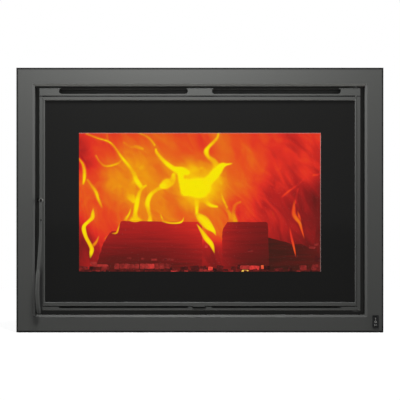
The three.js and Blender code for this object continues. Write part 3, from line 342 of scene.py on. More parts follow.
def blended(finish, share, first, second, kind="MIX"):
    """The first colour, and the second one, or both multiplied, where the share is 1."""
    mix = finish.node_tree.nodes.new("ShaderNodeMix")
    mix.data_type = "RGBA"
    mix.blend_type = kind
    feed(finish, share, mix.inputs["Factor"])
    sockets = [socket for socket in mix.inputs if socket.type == "RGBA"]
    feed(finish, first, sockets[0])
    feed(finish, second, sockets[1])
    return [socket for socket in mix.outputs if socket.type == "RGBA"][0]


clay = grained_finish("fire_clay", (0.95, 0.0, 0.2), 420.0, 5.0, 0.0006,
                      (0.3, (150, 122, 92)), (0.7, (192, 168, 136)))
soot = tones(clay, texture(clay, "Noise", Scale=9.0, Detail=4.0),
             (0.35, (95, 85, 78)), (0.65, (245, 238, 230)))
shade(clay, "Base Color", blended(clay, 1.0, plain_tone(clay), soot, "MULTIPLY"))
dress(clay, "lining_left", "lining_right", "lining_back", "hearth_brick_left", "hearth_brick_right",
      "hearth_brick_front", "hearth_brick_rear", "baffle_plate")

# ---- Grate, ash pan and log guard. The grate and the guard are cast iron with a sandy skin,
# the pan is folded zinc; all three are laid in by hand.

iron = grained_finish("cast_iron", (0.75, 0.5, 0.4), 600.0, 4.0, 0.0004,
                      (0.3, (34, 31, 29)), (0.7, (58, 52, 48)))
dress(iron, "fire_grate", "log_guard")
dress(zinc, "ash_pan")

# ---- Fan. A drum wheel in a folded zinc housing under the firebox floor, with a painted motor
# on its right, a bearing on its left and the slotted intake behind it.

dress(zinc, "blower_housing")
bright = new_finish("bright_steel", 0.3, 1.0)
brushing = texture(bright, "Noise", stretch=(40, 900, 900), Scale=1.0, Detail=3.0)
shade(bright, "Base Color", tones(bright, brushing, (0.3, (150, 148, 144)), (0.7, (192, 190, 186))))
shade(bright, "Roughness", span(bright, brushing, 0.3, 0.7, 0.24, 0.4))
dress(bright, "blower_wheel")
smoothed("blower_motor", "fan_motor", dark_paint, rounding=0.0008)

# ---- Terminal box and cable gland. Black moulded plastic with a fine spark-eroded grain; the
# box sits inside the casing's back, where the gland leads the cable out. The switch is the same.

plastic = grained_finish("black_plastic", (0.45, 0.0, 0.35), 2500.0, 2.0, 0.00008,
                         (0.3, (27, 28, 29)), (0.7, (36, 37, 38)))
dress(plastic, "terminal_box", "switch_body", "switch_rocker")
smoothed("cable_gland", "gland", plastic, rounding=0.0003)

# ---- Fire load: a bed of ash and embers, two split logs and a charred chunk. Burning wood is
# nearly black below and glows red along its upper edges, partly with its own embers and partly
# with the flames' light painted in as glow; heat, kept at every corner as its glow, gives the
# colour. Places are given as they are seen through the glass, in millimetres.

FIRE_TONES = (
    (0.00, (38, 16, 16)), (0.10, (64, 33, 27)), (0.20, (112, 31, 29)), (0.26, (142, 33, 32)),
    (0.34, (184, 38, 35)), (0.42, (228, 51, 38)), (0.50, (235, 78, 33)), (0.60, (236, 117, 28)),
    (0.70, (243, 155, 20)), (0.80, (252, 198, 14)), (0.90, (255, 228, 12)), (1.00, (253, 236, 4)),
)
COAL_TONES = (
    (0.00, (34, 18, 18)), (0.10, (58, 28, 26)), (0.20, (96, 32, 31)), (0.33, (168, 52, 48)),
    (0.44, (228, 62, 58)), (0.55, (240, 108, 52)), (0.90, (250, 212, 92)),
)


def own_value(finish, name):
    """A value that the piece keeps at its corners."""
    layer = finish.node_tree.nodes.new("ShaderNodeAttribute")
    layer.attribute_name = name
    return layer.outputs["Fac"]


def fire_finish(name, tones_by_heat, stretch, swing, see_through=False, lean=0.0, bend=0.6):
    """A glowing finish: its colour follows the piece's own glow, unsettled by a stretched noise."""
    finish = new_finish(name, 1.0, 0.0, 0.0)
    flicker = texture(finish, "Noise", stretch=stretch, lean=lean, Scale=1.0, Detail=4.0,
                      Distortion=bend)
    heat = reckon(finish, "ADD", own_value(finish, "glow"),
                  span(finish, flicker, 0.25, 0.75, -swing, swing))
    shade(finish, "Base Color", (0, 0, 0, 1))
    shade(finish, "Emission Strength", 1.0)
    shade(finish, "Emission Color", tones(finish, heat, *tones_by_heat))
    if see_through:
        shade(finish, "Alpha", own_value(finish, "cover"))
    return finish


def set_values(piece, name, values):
    layer = piece.data.attributes.new(name, "FLOAT", "POINT")
    layer.data.foreach_set("value", np.asarray(values, np.float32))


def corners(piece):
    places = np.zeros(len(piece.data.vertices) * 3)
    piece.data.vertices.foreach_get("co", places)
    return places.reshape(-1, 3)


def move_corners(piece, places):
    piece.data.vertices.foreach_set("co", places.ravel())


def steps(value, low, high):
    share = np.clip((value - low) / (high - low), 0, 1)
    return share * share * (3 - 2 * share)


def set_back(x, z, y):
    """The place in metres at depth y that is seen at x, z of the surround's face."""
    reach = (y - face_y + camera_back) / camera_back
    return x / 1000 * reach, y, eye_height + (z / 1000 - eye_height) * reach


def seen_at(places):
    """Where places are seen, in millimetres of the surround's face."""
    reach = (places[:, 1] - face_y + camera_back) / camera_back
    return places[:, 0] / reach * 1000, (eye_height + (places[:, 2] - eye_height) / reach) * 1000


def block(low, high):
    """A box between two corners, with its place in its mesh."""
    low, high = Vector(low), Vector(high)
    bpy.ops.object.select_all(action="DESELECT")
    bpy.ops.mesh.primitive_cube_add(size=1, location=(low + high) / 2, scale=high - low)
    bpy.ops.object.transform_apply(location=True, rotation=True, scale=True)
    return bpy.context.object


def split_wood(edges, y_front, y_back):
    """A block of split wood: its upper outline, left to right, as cuts through a box."""
    line = [Vector(set_back(x, z, y_front)) for x, z in edges]
    low_z = set_back(0, wood_foot, y_front)[2]
    high_z = max(point.z for point in line)
    wood_block = block((line[0].x, y_front, low_z), (line[-1].x, y_back, high_z))
    bpy.ops.object.mode_set(mode="EDIT")
    for first, second in zip(line, line[1:]):
        run = second - first
        bpy.ops.mesh.select_all(action="SELECT")
        bpy.ops.mesh.bisect(plane_co=first, plane_no=(-run.z, 0, run.x), use_fill=True,
                            clear_outer=True)
    bpy.ops.object.mode_set(mode="OBJECT")
    return wood_block


def roughen(piece, grain, depth):
    """Presses furrows into the skin; grain is their size along X, Y and Z."""
    bpy.ops.object.empty_add()
    ruler = bpy.context.object
    ruler.scale = grain
    bpy.context.view_layer.update()
    pick(piece)
    furrows = bpy.data.textures.new("furrows", "CLOUDS")
    furrows.noise_scale = 1.0
    furrows.noise_depth = 3
    use_modifier(piece, "DISPLACE", texture=furrows, texture_coords="OBJECT",
                 texture_coords_object=ruler, strength=depth, mid_level=0.5)
    bpy.data.objects.remove(ruler)


def charred(name, node, blocks, grain, foot, edge, left, right):
    """Blocks grown into one charred log, which stands in for a CAD log. It has one heat at its
    foot and one at its upper edge, and so much more at its left and right end."""
    pick(*blocks)
    if len(blocks) > 1:
        bpy.ops.object.join()
    piece = bpy.context.object
    piece.name = name
    use_modifier(piece, "BEVEL", width=0.003, segments=2)
    use_modifier(piece, "REMESH", mode="VOXEL", voxel_size=0.0028)
    roughen(piece, grain, 0.0035)
    bpy.ops.object.shade_smooth()
    x, z = seen_at(corners(piece))
    along = (x - x.min()) / (x.max() - x.min())
    # The upper edges' heat is partly ember glow and partly the flames' light painted in.
    heat = foot + (edge - foot) * steps(z, wood_foot, z.max())
    set_values(piece, "glow", heat + left * (1 - along) ** 2 + right * along ** 2)
    piece.data.materials.append(wood)
    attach(piece, "casing")
    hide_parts(node)


wood = fire_finish("charred_wood", FIRE_TONES, (14, 60, 190), 0.03)
long_grain, cracked_grain = (0.07, 0.05, 0.007), (0.02, 0.02, 0.012)
wood_foot = 112
log_front, chunk_front = -0.117, -0.114

charred("split_log_left", "log_left", [
    split_wood([(-203, 110), (-198, 134), (-187, 165), (-176, 184), (-166, 190), (-150, 190.5)],
               log_front, -0.02),
    split_wood([(-166, 166), (-159, 188), (-152, 212), (-60, 210), (4, 207.5)], log_front, -0.018),
], long_grain, foot=0.10, edge=0.28, left=0.06, right=0.12)

charred("split_log_right", "log_right", [
    split_wood([(43, 112), (44, 192), (50, 203), (62, 208), (100, 209), (122, 207), (130, 200),
                (132, 112)], log_front, -0.022),
], long_grain, foot=0.14, edge=0.22, left=0.12, right=0.0)

charred("charred_chunk", "log_chunk", [
    split_wood([(130, 112), (131, 174), (140, 180.5), (150, 180.5), (160, 176), (169, 173), (176, 160),
                (180, 112)], chunk_front, -0.05),
    split_wood([(172, 112), (174, 162), (182, 167), (196, 167), (206, 162), (218, 158), (228, 150),
                (234, 112)], chunk_front, -0.055),
], cracked_grain, foot=0.10, edge=0.12, left=0.0, right=0.05)

crust_low, crust_high = 0.106, 0.112
heaps_per_metre, heap_rise, crust_sink = 55, 0.004, 0.002
bed_heat, heap_heat = 0.13, 0.10
ember_bed = block(*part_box("ember_bed"))
ember_bed.name = "ash_and_embers"
bpy.ops.object.mode_set(mode="EDIT")
bpy.ops.mesh.select_all(action="SELECT")
bpy.ops.mesh.subdivide(number_cuts=60)
bpy.ops.object.mode_set(mode="OBJECT")
bed_places = corners(ember_bed)
heaps = np.array([noise.noise(Vector(place) * heaps_per_metre) for place in bed_places])
bed_places[:, 2] += steps(bed_places[:, 2], crust_low, crust_high) * (heaps * heap_rise - crust_sink)
move_corners(ember_bed, bed_places)
bpy.ops.object.shade_smooth()
set_values(ember_bed, "glow", bed_heat + heap_heat * heaps)
embers = fire_finish("embers", COAL_TONES, (150, 150, 150), 0.07)
ember_bed.data.materials.append(embers)
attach(ember_bed, "casing")
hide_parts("ember_bed")

# ---- Coals: three broken lumps, each modelled once and laid many times along the front of the
# fire, brightest in the row under the left log; a few chips burn yellow at the right.

random.seed(11)
lump_shapes = []
for seed in (3, 8, 14):
    lump = block((-0.5, -0.5, -0.5), (0.5, 0.5, 0.5))
    use_modifier(lump, "BEVEL", width=0.14, segments=2)
    bpy.ops.object.mode_set(mode="EDIT")
    bpy.ops.mesh.select_all(action="SELECT")
    bpy.ops.mesh.subdivide(number_cuts=1, fractal=0.5, fractal_along_normal=0.6, seed=seed)
    bpy.ops.object.mode_set(mode="OBJECT")
    lump_shapes.append(lump)

coals, coal_glow = [], []


def coal(x, z, y, width, height, heat):
    """Lays a copy of a lump, seen at x, z with its width and height, at depth y."""
    lump = random.choice(lump_shapes).copy()
    lump.data = lump.data.copy()
    bpy.context.scene.collection.objects.link(lump)
    tilt = Matrix.Rotation(random.uniform(-0.22, 0.22), 4, "Y")
    turn = Matrix.Rotation(random.choice((0, 1.57, 3.14)), 4, "Z")
    size = Matrix.Diagonal((width / 1000, (width + height) / 2000, height / 1000, 1))
    lump.data.transform(Matrix.Translation(set_back(x, z, y)) @ size @ (tilt @ turn))
    coals.append(lump)
    coal_glow.extend([heat + random.uniform(-0.03, 0.03)] * len(lump.data.vertices))


log_row, crumb_row, loose_row = -0.146, -0.154, -0.132
on_bed, on_wood, wood_from = -0.15, -0.124, 135

# The row under the left log, the crumbs along the front edge, and the loose lumps between them.
for step in range(11):
    coal(-158 + step * 9.6 + random.uniform(-1, 1), 126.5, log_row,
         width=random.uniform(8, 10.5), height=random.uniform(8, 10.5),
         heat=0.34 if step in (6, 7) else 0.28)
for step in range(62):
    coal(-231 + step * 7.5 + random.uniform(-3, 3), 116.5 + random.uniform(-1.5, 3), crumb_row,
         width=random.uniform(4, 10), height=random.uniform(2.5, 5),
         heat=random.choice((0.12, 0.14, 0.16, 0.19, 0.25)))
for step in range(20):
    coal(-222 + step * 23.5 + random.uniform(-8, 8), 121 + random.uniform(-2, 4), loose_row,
         width=random.uniform(8, 18), height=random.uniform(6, 11),
         heat=random.choice((0.12, 0.15, 0.18, 0.22)))

# Single chips on the bed and on the wood: place, width, height and heat.
for x, z, width, height, heat in (
    (20, 122, 9, 7, 0.42), (86, 124.5, 19, 7, 0.34), (104, 123.5, 18, 8, 0.38),
    (119, 124.5, 5, 8, 0.46), (86, 117.5, 13, 3.5, 0.86), (-87, 139, 11, 3.5, 0.27),
    (-60, 139, 22, 3.5, 0.27), (-135, 142, 9, 3, 0.22), (-109, 141, 6, 3.5, 0.22),
    (-190, 128, 30, 4, 0.34), (-203, 132, 12, 6, 0.3), (12, 164, 6, 5, 0.40), (96, 156, 9, 5, 0.22),
    (222, 168, 9, 5, 0.24), (214, 162, 12, 4, 0.26), (226, 140, 14, 12, 0.17),
    (222, 124, 18, 12, 0.2), (-222, 122, 16, 8, 0.22), (-50, 117, 14, 2.5, 0.36),
    (-30, 117, 16, 2.5, 0.33),
):
    coal(x, z, on_bed if z < wood_from else on_wood, width, height, heat)
for lump in lump_shapes:
    bpy.data.objects.remove(lump)
pick(*coals)
bpy.ops.object.join()
broken_coals = bpy.context.object
broken_coals.name = "broken_coals"
set_values(broken_coals, "glow", coal_glow)
broken_coals.data.materials.append(embers)
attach(broken_coals, "casing")

# ---- Flames. A glowing veil of burning gas hangs behind the logs and leans forward under the
# baffle. Each tongue of flame is its heat, 1 where it burns in front of the logs as a shape of
# its own, else 0 as a hotter streak in the veil, and its line in X and Z with its widths.

TONGUES = (
    (0.90, 0, [(-216, 379, 1.9), (-196, 371, 2.3), (-174, 364, 2.7), (-162, 353, 3.4), (-151, 337, 4.2),
               (-143, 327, 5), (-134, 316, 5.7), (-126, 303, 7.6), (-120, 289, 9.5), (-113, 279, 8.6)]),
    (0.72, 0, [(-177, 379, 1.9), (-175, 366, 2.9)]),
    (0.80, 0, [(-124, 287, 11.5), (-131, 274, 17.2), (-132, 261, 17.2), (-126, 251, 9.5)]),
    (0.93, 0, [(-103, 280, 2.9), (-111, 274, 5.7), (-117, 261, 7.6), (-120, 245, 8.6), (-123, 228, 8.6),
               (-123, 217, 15.3), (-123, 213, 22.9)]),
    (0.86, 1, [(-131, 238, 1.9), (-135, 226, 4.6), (-140, 218, 6.7), (-142, 213, 9.5)]),
    (0.82, 0, [(-198, 337, 1.9), (-191, 326, 2.5), (-182, 318, 2.7), (-170, 318, 3.1), (-157, 322, 3.1),
               (-149, 329, 2.3)]),
    (0.84, 0, [(-116, 381, 2.9), (-104, 375, 3.1), (-94, 368, 2.7), (-86, 357, 2.3)]),
    (0.94, 0, [(-84, 349, 3.4), (-82, 343, 5.7), (-74, 333, 6.9), (-63, 322, 8), (-51, 313, 9.5),
               (-38, 306, 13.4)]),
    (0.92, 0, [(-50, 301, 6.7), (-53, 289, 13.4), (-63, 284, 21), (-72, 279, 11.5)]),
    (0.92, 0, [(-70, 279, 7.6), (-84, 271, 6.5), (-95, 261, 8.4), (-100, 247, 9.5), (-98, 234, 7.6),
               (-95, 222, 6.7), (-95, 213, 9.5)]),
    (0.88, 0, [(-230, 331, 2.3), (-223, 321, 5.7), (-220, 308, 6.9), (-220, 295, 6.1),
               (-222, 284, 3.1)]),
    (0.84, 0, [(-214, 291, 2.9), (-206, 280, 5), (-198, 268, 6.1), (-194, 256, 5.7), (-187, 240, 2.3)]),
    (0.72, 0, [(-179, 303, 1.9), (-166, 291, 4.6), (-151, 278, 3.8)]),
    (0.74, 0, [(-145, 362, 1.9), (-132, 354, 3.8), (-120, 354, 6.5), (-109, 350, 3.8)]),
    (0.97, 0, [(-46, 312, 7.6), (-34, 308, 15.3), (-23, 305, 7.6)]),
    (0.97, 0, [(-37, 306, 11.5), (-34, 289, 13.4), (-19, 278, 32.5), (0, 276, 42), (11, 282, 20)]),
    (0.97, 0, [(-35, 290, 9), (-31, 274, 14), (-29, 266, 11), (-12, 266, 10), (6, 267, 9)]),
    (0.97, 0, [(6, 280, 20), (21, 294, 19), (33, 308, 18), (42, 318, 11.5), (50, 320, 4.6),
               (60, 322, 1.9)]),
    (0.90, 0, [(33, 314, 17.2), (27, 326, 11.5), (16, 335, 7.6), (12, 345, 10.5), (17, 354, 6.9),
               (27, 364, 6.5), (34, 373, 4.2), (35, 382, 2.3)]),
    (0.84, 0, [(-23, 307, 2.9), (-11, 311, 2.7), (4, 313, 1.9)]),
    (0.84, 0, [(41, 285, 2.3), (41, 264, 2.5), (48, 246, 2.5), (52, 238, 2.3)]),
    (0.93, 0, [(-6, 266, 11.5), (-6, 253, 8.8), (-6, 242, 7.3), (-6, 228, 4.6)]),
    (0.90, 0, [(2, 266, 11.5), (6, 257, 8.4), (15, 246, 7.6), (23, 242, 5.7), (33, 240, 2.7)]),
    (0.95, 1, [(-8, 228, 5.7), (-1, 221, 14.3), (8, 213, 19.1), (17, 203, 16.2), (26, 194, 7.6),
               (31, 185, 1.9)]),
    (0.88, 1, [(-6, 207, 1.9), (3, 194, 6.9), (12, 180, 10.3), (22, 168, 8.8), (28, 151, 1.9)]),
    (0.68, 0, [(44, 263, 3.8), (49, 240, 5.7), (57, 226, 7.6), (61, 213, 13.4)]),
    (0.70, 0, [(77, 249, 3.1), (67, 243, 5.7), (64, 228, 6.9), (68, 212, 9.5)]),
    (0.90, 1, [(-203, 237, 1.9), (-204, 228, 6.9), (-205, 219, 8.8), (-212, 212, 6.9), (-220, 204, 7.3),
               (-221, 196, 8.4), (-217, 182, 7.3), (-210, 169, 7.6), (-206, 160, 8.4), (-207, 152, 7.6),
               (-209, 142, 2.3)]),
    (0.72, 1, [(-207, 163, 7.6), (-198, 172, 5.7), (-192, 185, 1.9)]),
    (0.57, 1, [(180, 252, 1.9), (179, 238, 6.9), (179, 226, 8.8), (184, 217, 8.4), (190, 209, 6.5),
               (194, 196, 4.6), (199, 179, 1.5)]),
    (0.56, 1, [(186, 232, 1.9), (189, 222, 5), (192, 211, 5)]),
    (0.49, 1, [(171, 201, 1.9), (174, 184, 5.3), (179, 163, 4.2), (183, 144, 1.5)]),
    (0.54, 0, [(126, 301, 1.9), (139, 307, 3.1), (153, 313, 1.9)]),
    (0.50, 0, [(168, 308, 1.9), (177, 312, 2.7)]),
    (0.56, 0, [(216, 300, 2.3), (224, 301, 2.7), (232, 305, 2.3)]),
    (0.52, 1, [(138, 231, 2.3), (142, 220, 2.7)]),
    (0.50, 0, [(197, 291, 1.9), (184, 280, 3.1), (170, 270, 3.1), (157, 259, 1.9)]),
    (0.50, 0, [(187, 274, 1.9), (184, 261, 3.1), (182, 247, 2.7)]),
    (0.82, 1, [(-76, 227, 1.9), (-73, 220, 4.6), (-70, 213, 7.6)]),
    (0.84, 1, [(-72, 212, 3.1), (-57, 209, 3.8), (-42, 209, 3.8), (-34, 212, 3.8), (-30, 221, 1.5)]),
    (0.84, 1, [(-137, 214, 2.3), (-122, 212, 3.4), (-107, 216, 1.9)]),
    (0.80, 1, [(-168, 189, 2.3), (-159, 190, 4.2), (-155, 200, 3.1), (-153, 208, 1.5)]),
    (0.66, 1, [(-183, 177, 1.9), (-176, 185, 3.1)]),
)

# The fire's broad masses: place, reach and heat.
FIRE_MASSES = (
    (-215, 365, 30, 0.40), (-130, 345, 45, 0.55), (-125, 285, 25, 0.70), (-180, 225, 40, 0.50),
    (-225, 150, 30, 0.25), (-75, 250, 40, 0.60), (0, 285, 20, 0.80), (-10, 370, 30, 0.50),
    (20, 205, 20, 0.55), (20, 140, 25, 0.25), (60, 300, 35, 0.60), (120, 330, 45, 0.45),
    (110, 235, 25, 0.40), (155, 220, 35, 0.30), (200, 345, 40, 0.40), (220, 225, 45, 0.20),
)


def flowing_line(points, spacing):
    """A smooth line through the points, with a sample about every so many millimetres."""
    known = np.array(points, float)
    padded = np.vstack([2 * known[0] - known[1], known, 2 * known[-1] - known[-2]])
    samples = []
    for index in range(len(known) - 1):
        a, b, c, d = padded[index:index + 4]
        count = max(2, int(np.hypot(*(c - b)[:2]) / spacing))
        for t in np.arange(count) / count:
            samples.append(0.5 * (2 * b + (c - a) * t + (2 * a - 5 * b + 4 * c - d) * t * t
                                  + (3 * b - a - 3 * c + d) * t ** 3))
    samples.append(known[-1])
    line = np.array(samples)
    line[:, 2] = np.maximum(line[:, 2], 0.8)
    return line


def mass_heat(x, z):
    """Heat at x, z, blended from the fire's masses around it."""
    heat, weight = 0, 1e-9
    for middle_x, middle_z, reach, level in FIRE_MASSES:
        share = np.exp(-((x - middle_x) ** 2 + (z - middle_z) ** 2) / (2 * reach ** 2)) / reach ** 2
        heat, weight = heat + share * level, weight + share
    return heat / weight


def drift(x, z):
    """Slow unevenness of the gas, drawn out upwards and leaning to the left."""
    spots = zip((x + 0.4 * z) / drift_wide, z / drift_high)
    return np.array([noise.noise(Vector((across, up, 0))) for across, up in spots])


def veil_depth(x, z):
    """How far back the veil hangs at a place in metres; its sides and top come forward."""
    side = np.clip(np.abs(x) / veil_side, 0, 1) ** 4
    rise = steps(z, lean_from, lean_to)
    return veil_back - side_curl * side - top_lean * rise * (1 - 0.55 * side)


def veil_heat(x, z):
    """Heat of the veil at places seen at x, z: the masses, their drift, and the tongues."""
    halo_reach, halo_heat, soft_edge = 6, 0.05, 1.6
    heat = mass_heat(x, z) + drift_heat * drift(x, z)
    for level, in_front, points in TONGUES:
        line = flowing_line(points, 1.5)
        away = np.hypot(x[:, None] - line[None, :, 0], z[:, None] - line[None, :, 1])
        radius = line[None, :, 2] / 2
        halo = np.exp(-np.maximum(away - radius, 0).min(axis=1) / halo_reach)
        heat = heat + halo_heat * max(level - 0.5, 0) * halo * (heat > 0.4)
        if not in_front:
            inside = ((radius + soft_edge - away) / (0.35 * radius + 2.6)).max(axis=1)
            burning = level - 0.07 * (1 + np.sin(away.argmin(axis=1) * 0.19)) * (level < 0.96)
            heat = heat + (np.maximum(burning, heat) - heat) * steps(inside, 0, 1)
    return np.minimum(heat, 0.98)


drift_wide, drift_high, drift_heat = 34, 60, 0.09
veil_wide, veil_high, veil_middle, veil_ripple = 0.4824, 0.280, 0.248, 0.006
veil_side, veil_back, side_curl = 0.241, 0.050, 0.135
lean_from, lean_to, top_lean = 0.20, 0.388, 0.172
bpy.ops.object.select_all(action="DESELECT")
bpy.ops.mesh.primitive_grid_add(x_subdivisions=240, y_subdivisions=140, size=1)
veil = bpy.context.object
veil.name = "flame_veil"
veil_places = corners(veil)
veil_places[:, 2] = veil_middle + veil_places[:, 1] * veil_high
veil_places[:, 0] *= veil_wide
veil_places[:, 1] = veil_depth(veil_places[:, 0], veil_places[:, 2])
veil_glow = veil_heat(*seen_at(veil_places))
veil_places[:, 1] -= veil_ripple * (veil_glow - 0.4)
move_corners(veil, veil_places)
set_values(veil, "glow", veil_glow)
use_modifier(veil, "SOLIDIFY", thickness=0.002, offset=-1.0)
bpy.ops.object.shade_smooth()
burning_gas = fire_finish("flame_veil", FIRE_TONES, (36, 20, 11), 0.045, lean=0.5, bend=1.8)
veil.data.materials.append(burning_gas)
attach(veil, "casing")

tongue_y, tongue_fullness, tongue_flatness = -0.126, 0.60, 0.5
edge_cooling, wave_heat, wave_pace = 0.16, 0.05, 0.31
tongue_pieces, tongue_glow, tongue_cover = [], [], []
for level, in_front, points in TONGUES:
    if not in_front:
        continue
    line = flowing_line(points, 2.5)
    middles = np.array([set_back(x, z, tongue_y) for x, z, _ in line])
    half = line[:, 2] * tongue_fullness / 1000
    path = bpy.data.curves.new("tongue", "CURVE")
    path.dimensions = "3D"
    path.bevel_depth = 1.0
    path.bevel_resolution = 3
    path.use_fill_caps = True
    spline = path.splines.new("POLY")
    spline.points.add(len(line) - 1)
    for point, middle, radius in zip(spline.points, middles, half):
        point.co = (*middle, 1)
        point.radius = radius
    tongue = bpy.data.objects.new("tongue", path)
    bpy.context.scene.collection.objects.link(tongue)
    pick(tongue)
    bpy.ops.object.convert(target="MESH")
    tongue = bpy.context.object
    places = corners(tongue)
    away = np.hypot(places[:, None, 0] - middles[None, :, 0], places[:, None, 2] - middles[None, :, 2])
    nearest = away.argmin(axis=1)
    side = np.clip(away.min(axis=1) / half[nearest], 0, 1)
    ends = np.minimum(nearest, len(line) - 1 - nearest)
    places[:, 1] = tongue_y + (places[:, 1] - tongue_y) * tongue_flatness
    move_corners(tongue, places)
    tongue_pieces.append(tongue)
    tongue_glow.extend(level - edge_cooling * side ** 2 - wave_heat * np.sin(nearest * wave_pace))
    tongue_cover.extend((1 - steps(side, 0.35, 1.0)) * steps(ends, -1, 5))
pick(*tongue_pieces)
bpy.ops.object.join()
tongues = bpy.context.object
tongues.name = "flame_tongues"
set_values(tongues, "glow", tongue_glow)
set_values(tongues, "cover", tongue_cover)
bpy.ops.object.shade_smooth()
tongue_flame = fire_finish("flame_tongues", FIRE_TONES, (60, 60, 30), 0.012, see_through=True)
tongues.data.materials.append(tongue_flame)
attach(tongues, "casing")

# ---- Surround. Two-millimetre sheet folded to a flat frame with a bevel towards the door,
# mitred and welded at the corners, and coated with satin anthracite stove paint. The front of
# the rolled outer edge is duller and painted near black as shade, and edges that face down
# carry a painted highlight.

anthracite = grained_finish("anthracite_paint", (0.5, 0.0, 0.4), 1500.0, 3.0, 0.00006,
                            (0.3, (82, 83, 81)), (0.7, (92, 93, 91)))
paint_cloud = texture(anthracite, "Noise", Scale=6.0, Detail=3.0)
shade(anthracite, "Roughness", span(anthracite, paint_cloud, 0.3, 0.7, 0.46, 0.54))


def parted(finish, vector):
    """The X, Y and Z of a vector."""
    parts = finish.node_tree.nodes.new("ShaderNodeSeparateXYZ")
    feed(finish, vector, parts.inputs["Vector"])
    return parts.outputs


def place_on(finish):
    return parted(finish, finish.node_tree.nodes.new("ShaderNodeTexCoord").outputs["Object"])


def facing_of(finish):
    geometry = finish.node_tree.nodes.new("ShaderNodeNewGeometry")
    return parted(finish, geometry.outputs["True Normal"])


def away_from(finish, value, middle, near, far):
    """1 where a coordinate lies further than far from its middle, 0 nearer than near."""
    shift = reckon(finish, "SUBTRACT", value, middle)
    return span(finish, reckon(finish, "ABSOLUTE", shift), near, far, 0, 1)


def sheet_paint(name):
    """The anthracite paint and its tone, with a painted highlight, pale grey, on edges that face down."""
    finish = anthracite.copy()
    finish.name = name
    # Painted highlight: faces turned down are painted pale grey, as if lit from below.
    painted_underlight = span(finish, facing_of(finish)["Z"], -0.55, -0.45, 1, 0)
    return finish, blended(finish, painted_underlight, plain_tone(finish), colour(214, 214, 208))


side_roll, top_roll = (0.0040, 0.0023), (0.0048, 0.0020)
surround_low, surround_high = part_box("surround_frame")
half_wide = (surround_high.x - surround_low.x) / 2
half_high = (surround_high.z - surround_low.z) / 2
surround_paint, surround_tone = sheet_paint("surround_paint")
surround_place = place_on(surround_paint)
at_edge = reckon(
    surround_paint, "MAXIMUM",
    away_from(surround_paint, surround_place["X"], 0, *(half_wide - reach for reach in side_roll)),
    away_from(surround_paint, surround_place["Z"], half_high, *(half_high - reach for reach in top_roll)))
forward = span(surround_paint, facing_of(surround_paint)["Y"], -0.2, -0.1, 1, 0)
# Painted shade: the front of the rolled outer edge is painted near black.
painted_rim_shade = reckon(surround_paint, "MULTIPLY", at_edge, forward)
shade(surround_paint, "Base Color", blended(surround_paint, painted_rim_shade, surround_tone, colour(9, 9, 9)))
shade(surround_paint, "Roughness", span(surround_paint, painted_rim_shade, 0, 1, 0.5, 1.0))
dress(surround_paint, "surround_frame")

# ---- Door. The frame and the glass bezel are the same painted sheet, with painted shade in a
# band along the joint at the bezel's top and a painted shadow of the grip on the frame beside
# it; the ceramic glass is edged behind with a black print, held by clips on a soft gasket and
# sealed with a rope.

bezel_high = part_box("glass_bezel")[1]
grip_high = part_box("handle_grip")[1]
door_paint, door_tone = sheet_paint("door_paint")
door_place = place_on(door_paint)
# Painted shade along the joint at the bezel's top, and a painted shadow of the grip on the frame beside
# it.
from_joint = away_from(door_paint, door_place["Z"], bezel_high.z + 0.0006, 0, 0.0022)
joint_shade = span(door_paint, from_joint, 0.35, 0.8, 1, 0)
grip_shadow = reckon(
    door_paint, "MULTIPLY",
    span(door_paint, door_place["X"], grip_high.x + 0.0005, grip_high.x + 0.0032, 1, 0),
    span(door_paint, door_place["Z"], grip_high.z - 0.010, grip_high.z + 0.016, 1, 0))
shadowed = reckon(door_paint, "MAXIMUM", joint_shade, grip_shadow)
shade(door_paint, "Base Color", blended(door_paint, shadowed, door_tone, colour(38, 38, 38)))
dress(door_paint, "door_frame", "glass_bezel")
dress(anthracite, "air_slider")

window_half, window_low, window_high = 0.2315, 0.1155, 0.3812
glint_width, glint_cover, glass_cover = 0.0012, 0.26, 0.03
glass = new_finish("ceramic_glass", 0.06, 0.0, 0.2)
glass_place = place_on(glass)
across, up = glass_place["X"], glass_place["Z"]
beside = reckon(glass, "GREATER_THAN", reckon(glass, "ABSOLUTE", across), window_half)
below = reckon(glass, "LESS_THAN", up, window_low)
above = reckon(glass, "GREATER_THAN", up, window_high)
printed = reckon(glass, "MAXIMUM", reckon(glass, "MAXIMUM", beside, below), above)
# Painted highlight: a pale band along the top and right edge of the clear window.
from_edge = reckon(glass, "MINIMUM", reckon(glass, "SUBTRACT", window_half, across),
                   reckon(glass, "SUBTRACT", window_high, up))
in_glint_band = reckon(glass, "LESS_THAN", from_edge, glint_width)
clear_cover = reckon(glass, "MAXIMUM", reckon(glass, "MULTIPLY", in_glint_band, glint_cover), glass_cover)
shade(glass, "Alpha", reckon(glass, "MAXIMUM", printed, clear_cover))
print_tone = tones(glass, texture(glass, "Noise", Scale=700.0), (0.3, (22, 22, 21)), (0.7, (27, 27, 26)))
painted_glint = reckon(glass, "SUBTRACT", in_glint_band, printed)
shade(glass, "Base Color", blended(glass, painted_glint, print_tone, colour(225, 205, 200)))
dress(glass, "door_glass")

rope = new_finish("glass_rope", 0.9, 0.0, 0.2)
strands = texture(rope, "Wave", output=1, Scale=130.0, Distortion=1.5)
shade(rope, "Base Color", tones(rope, strands, (0.2, (70, 70, 68)), (0.8, (150, 149, 144))))
relief(rope, strands, 0.0012)
dress(rope, "door_seal", "glass_gasket")
dress(zinc, "glass_clip_1", "glass_clip_2", "glass_clip_3", "glass_clip_4")
dress(dark_paint, "catch_plate")

# ---- Hinges, handle and latch. Plain steel pins; the lever is a bar that bows out to a separate
# grip, both in the surround's paint, and its shaft turns the tongue behind the door.

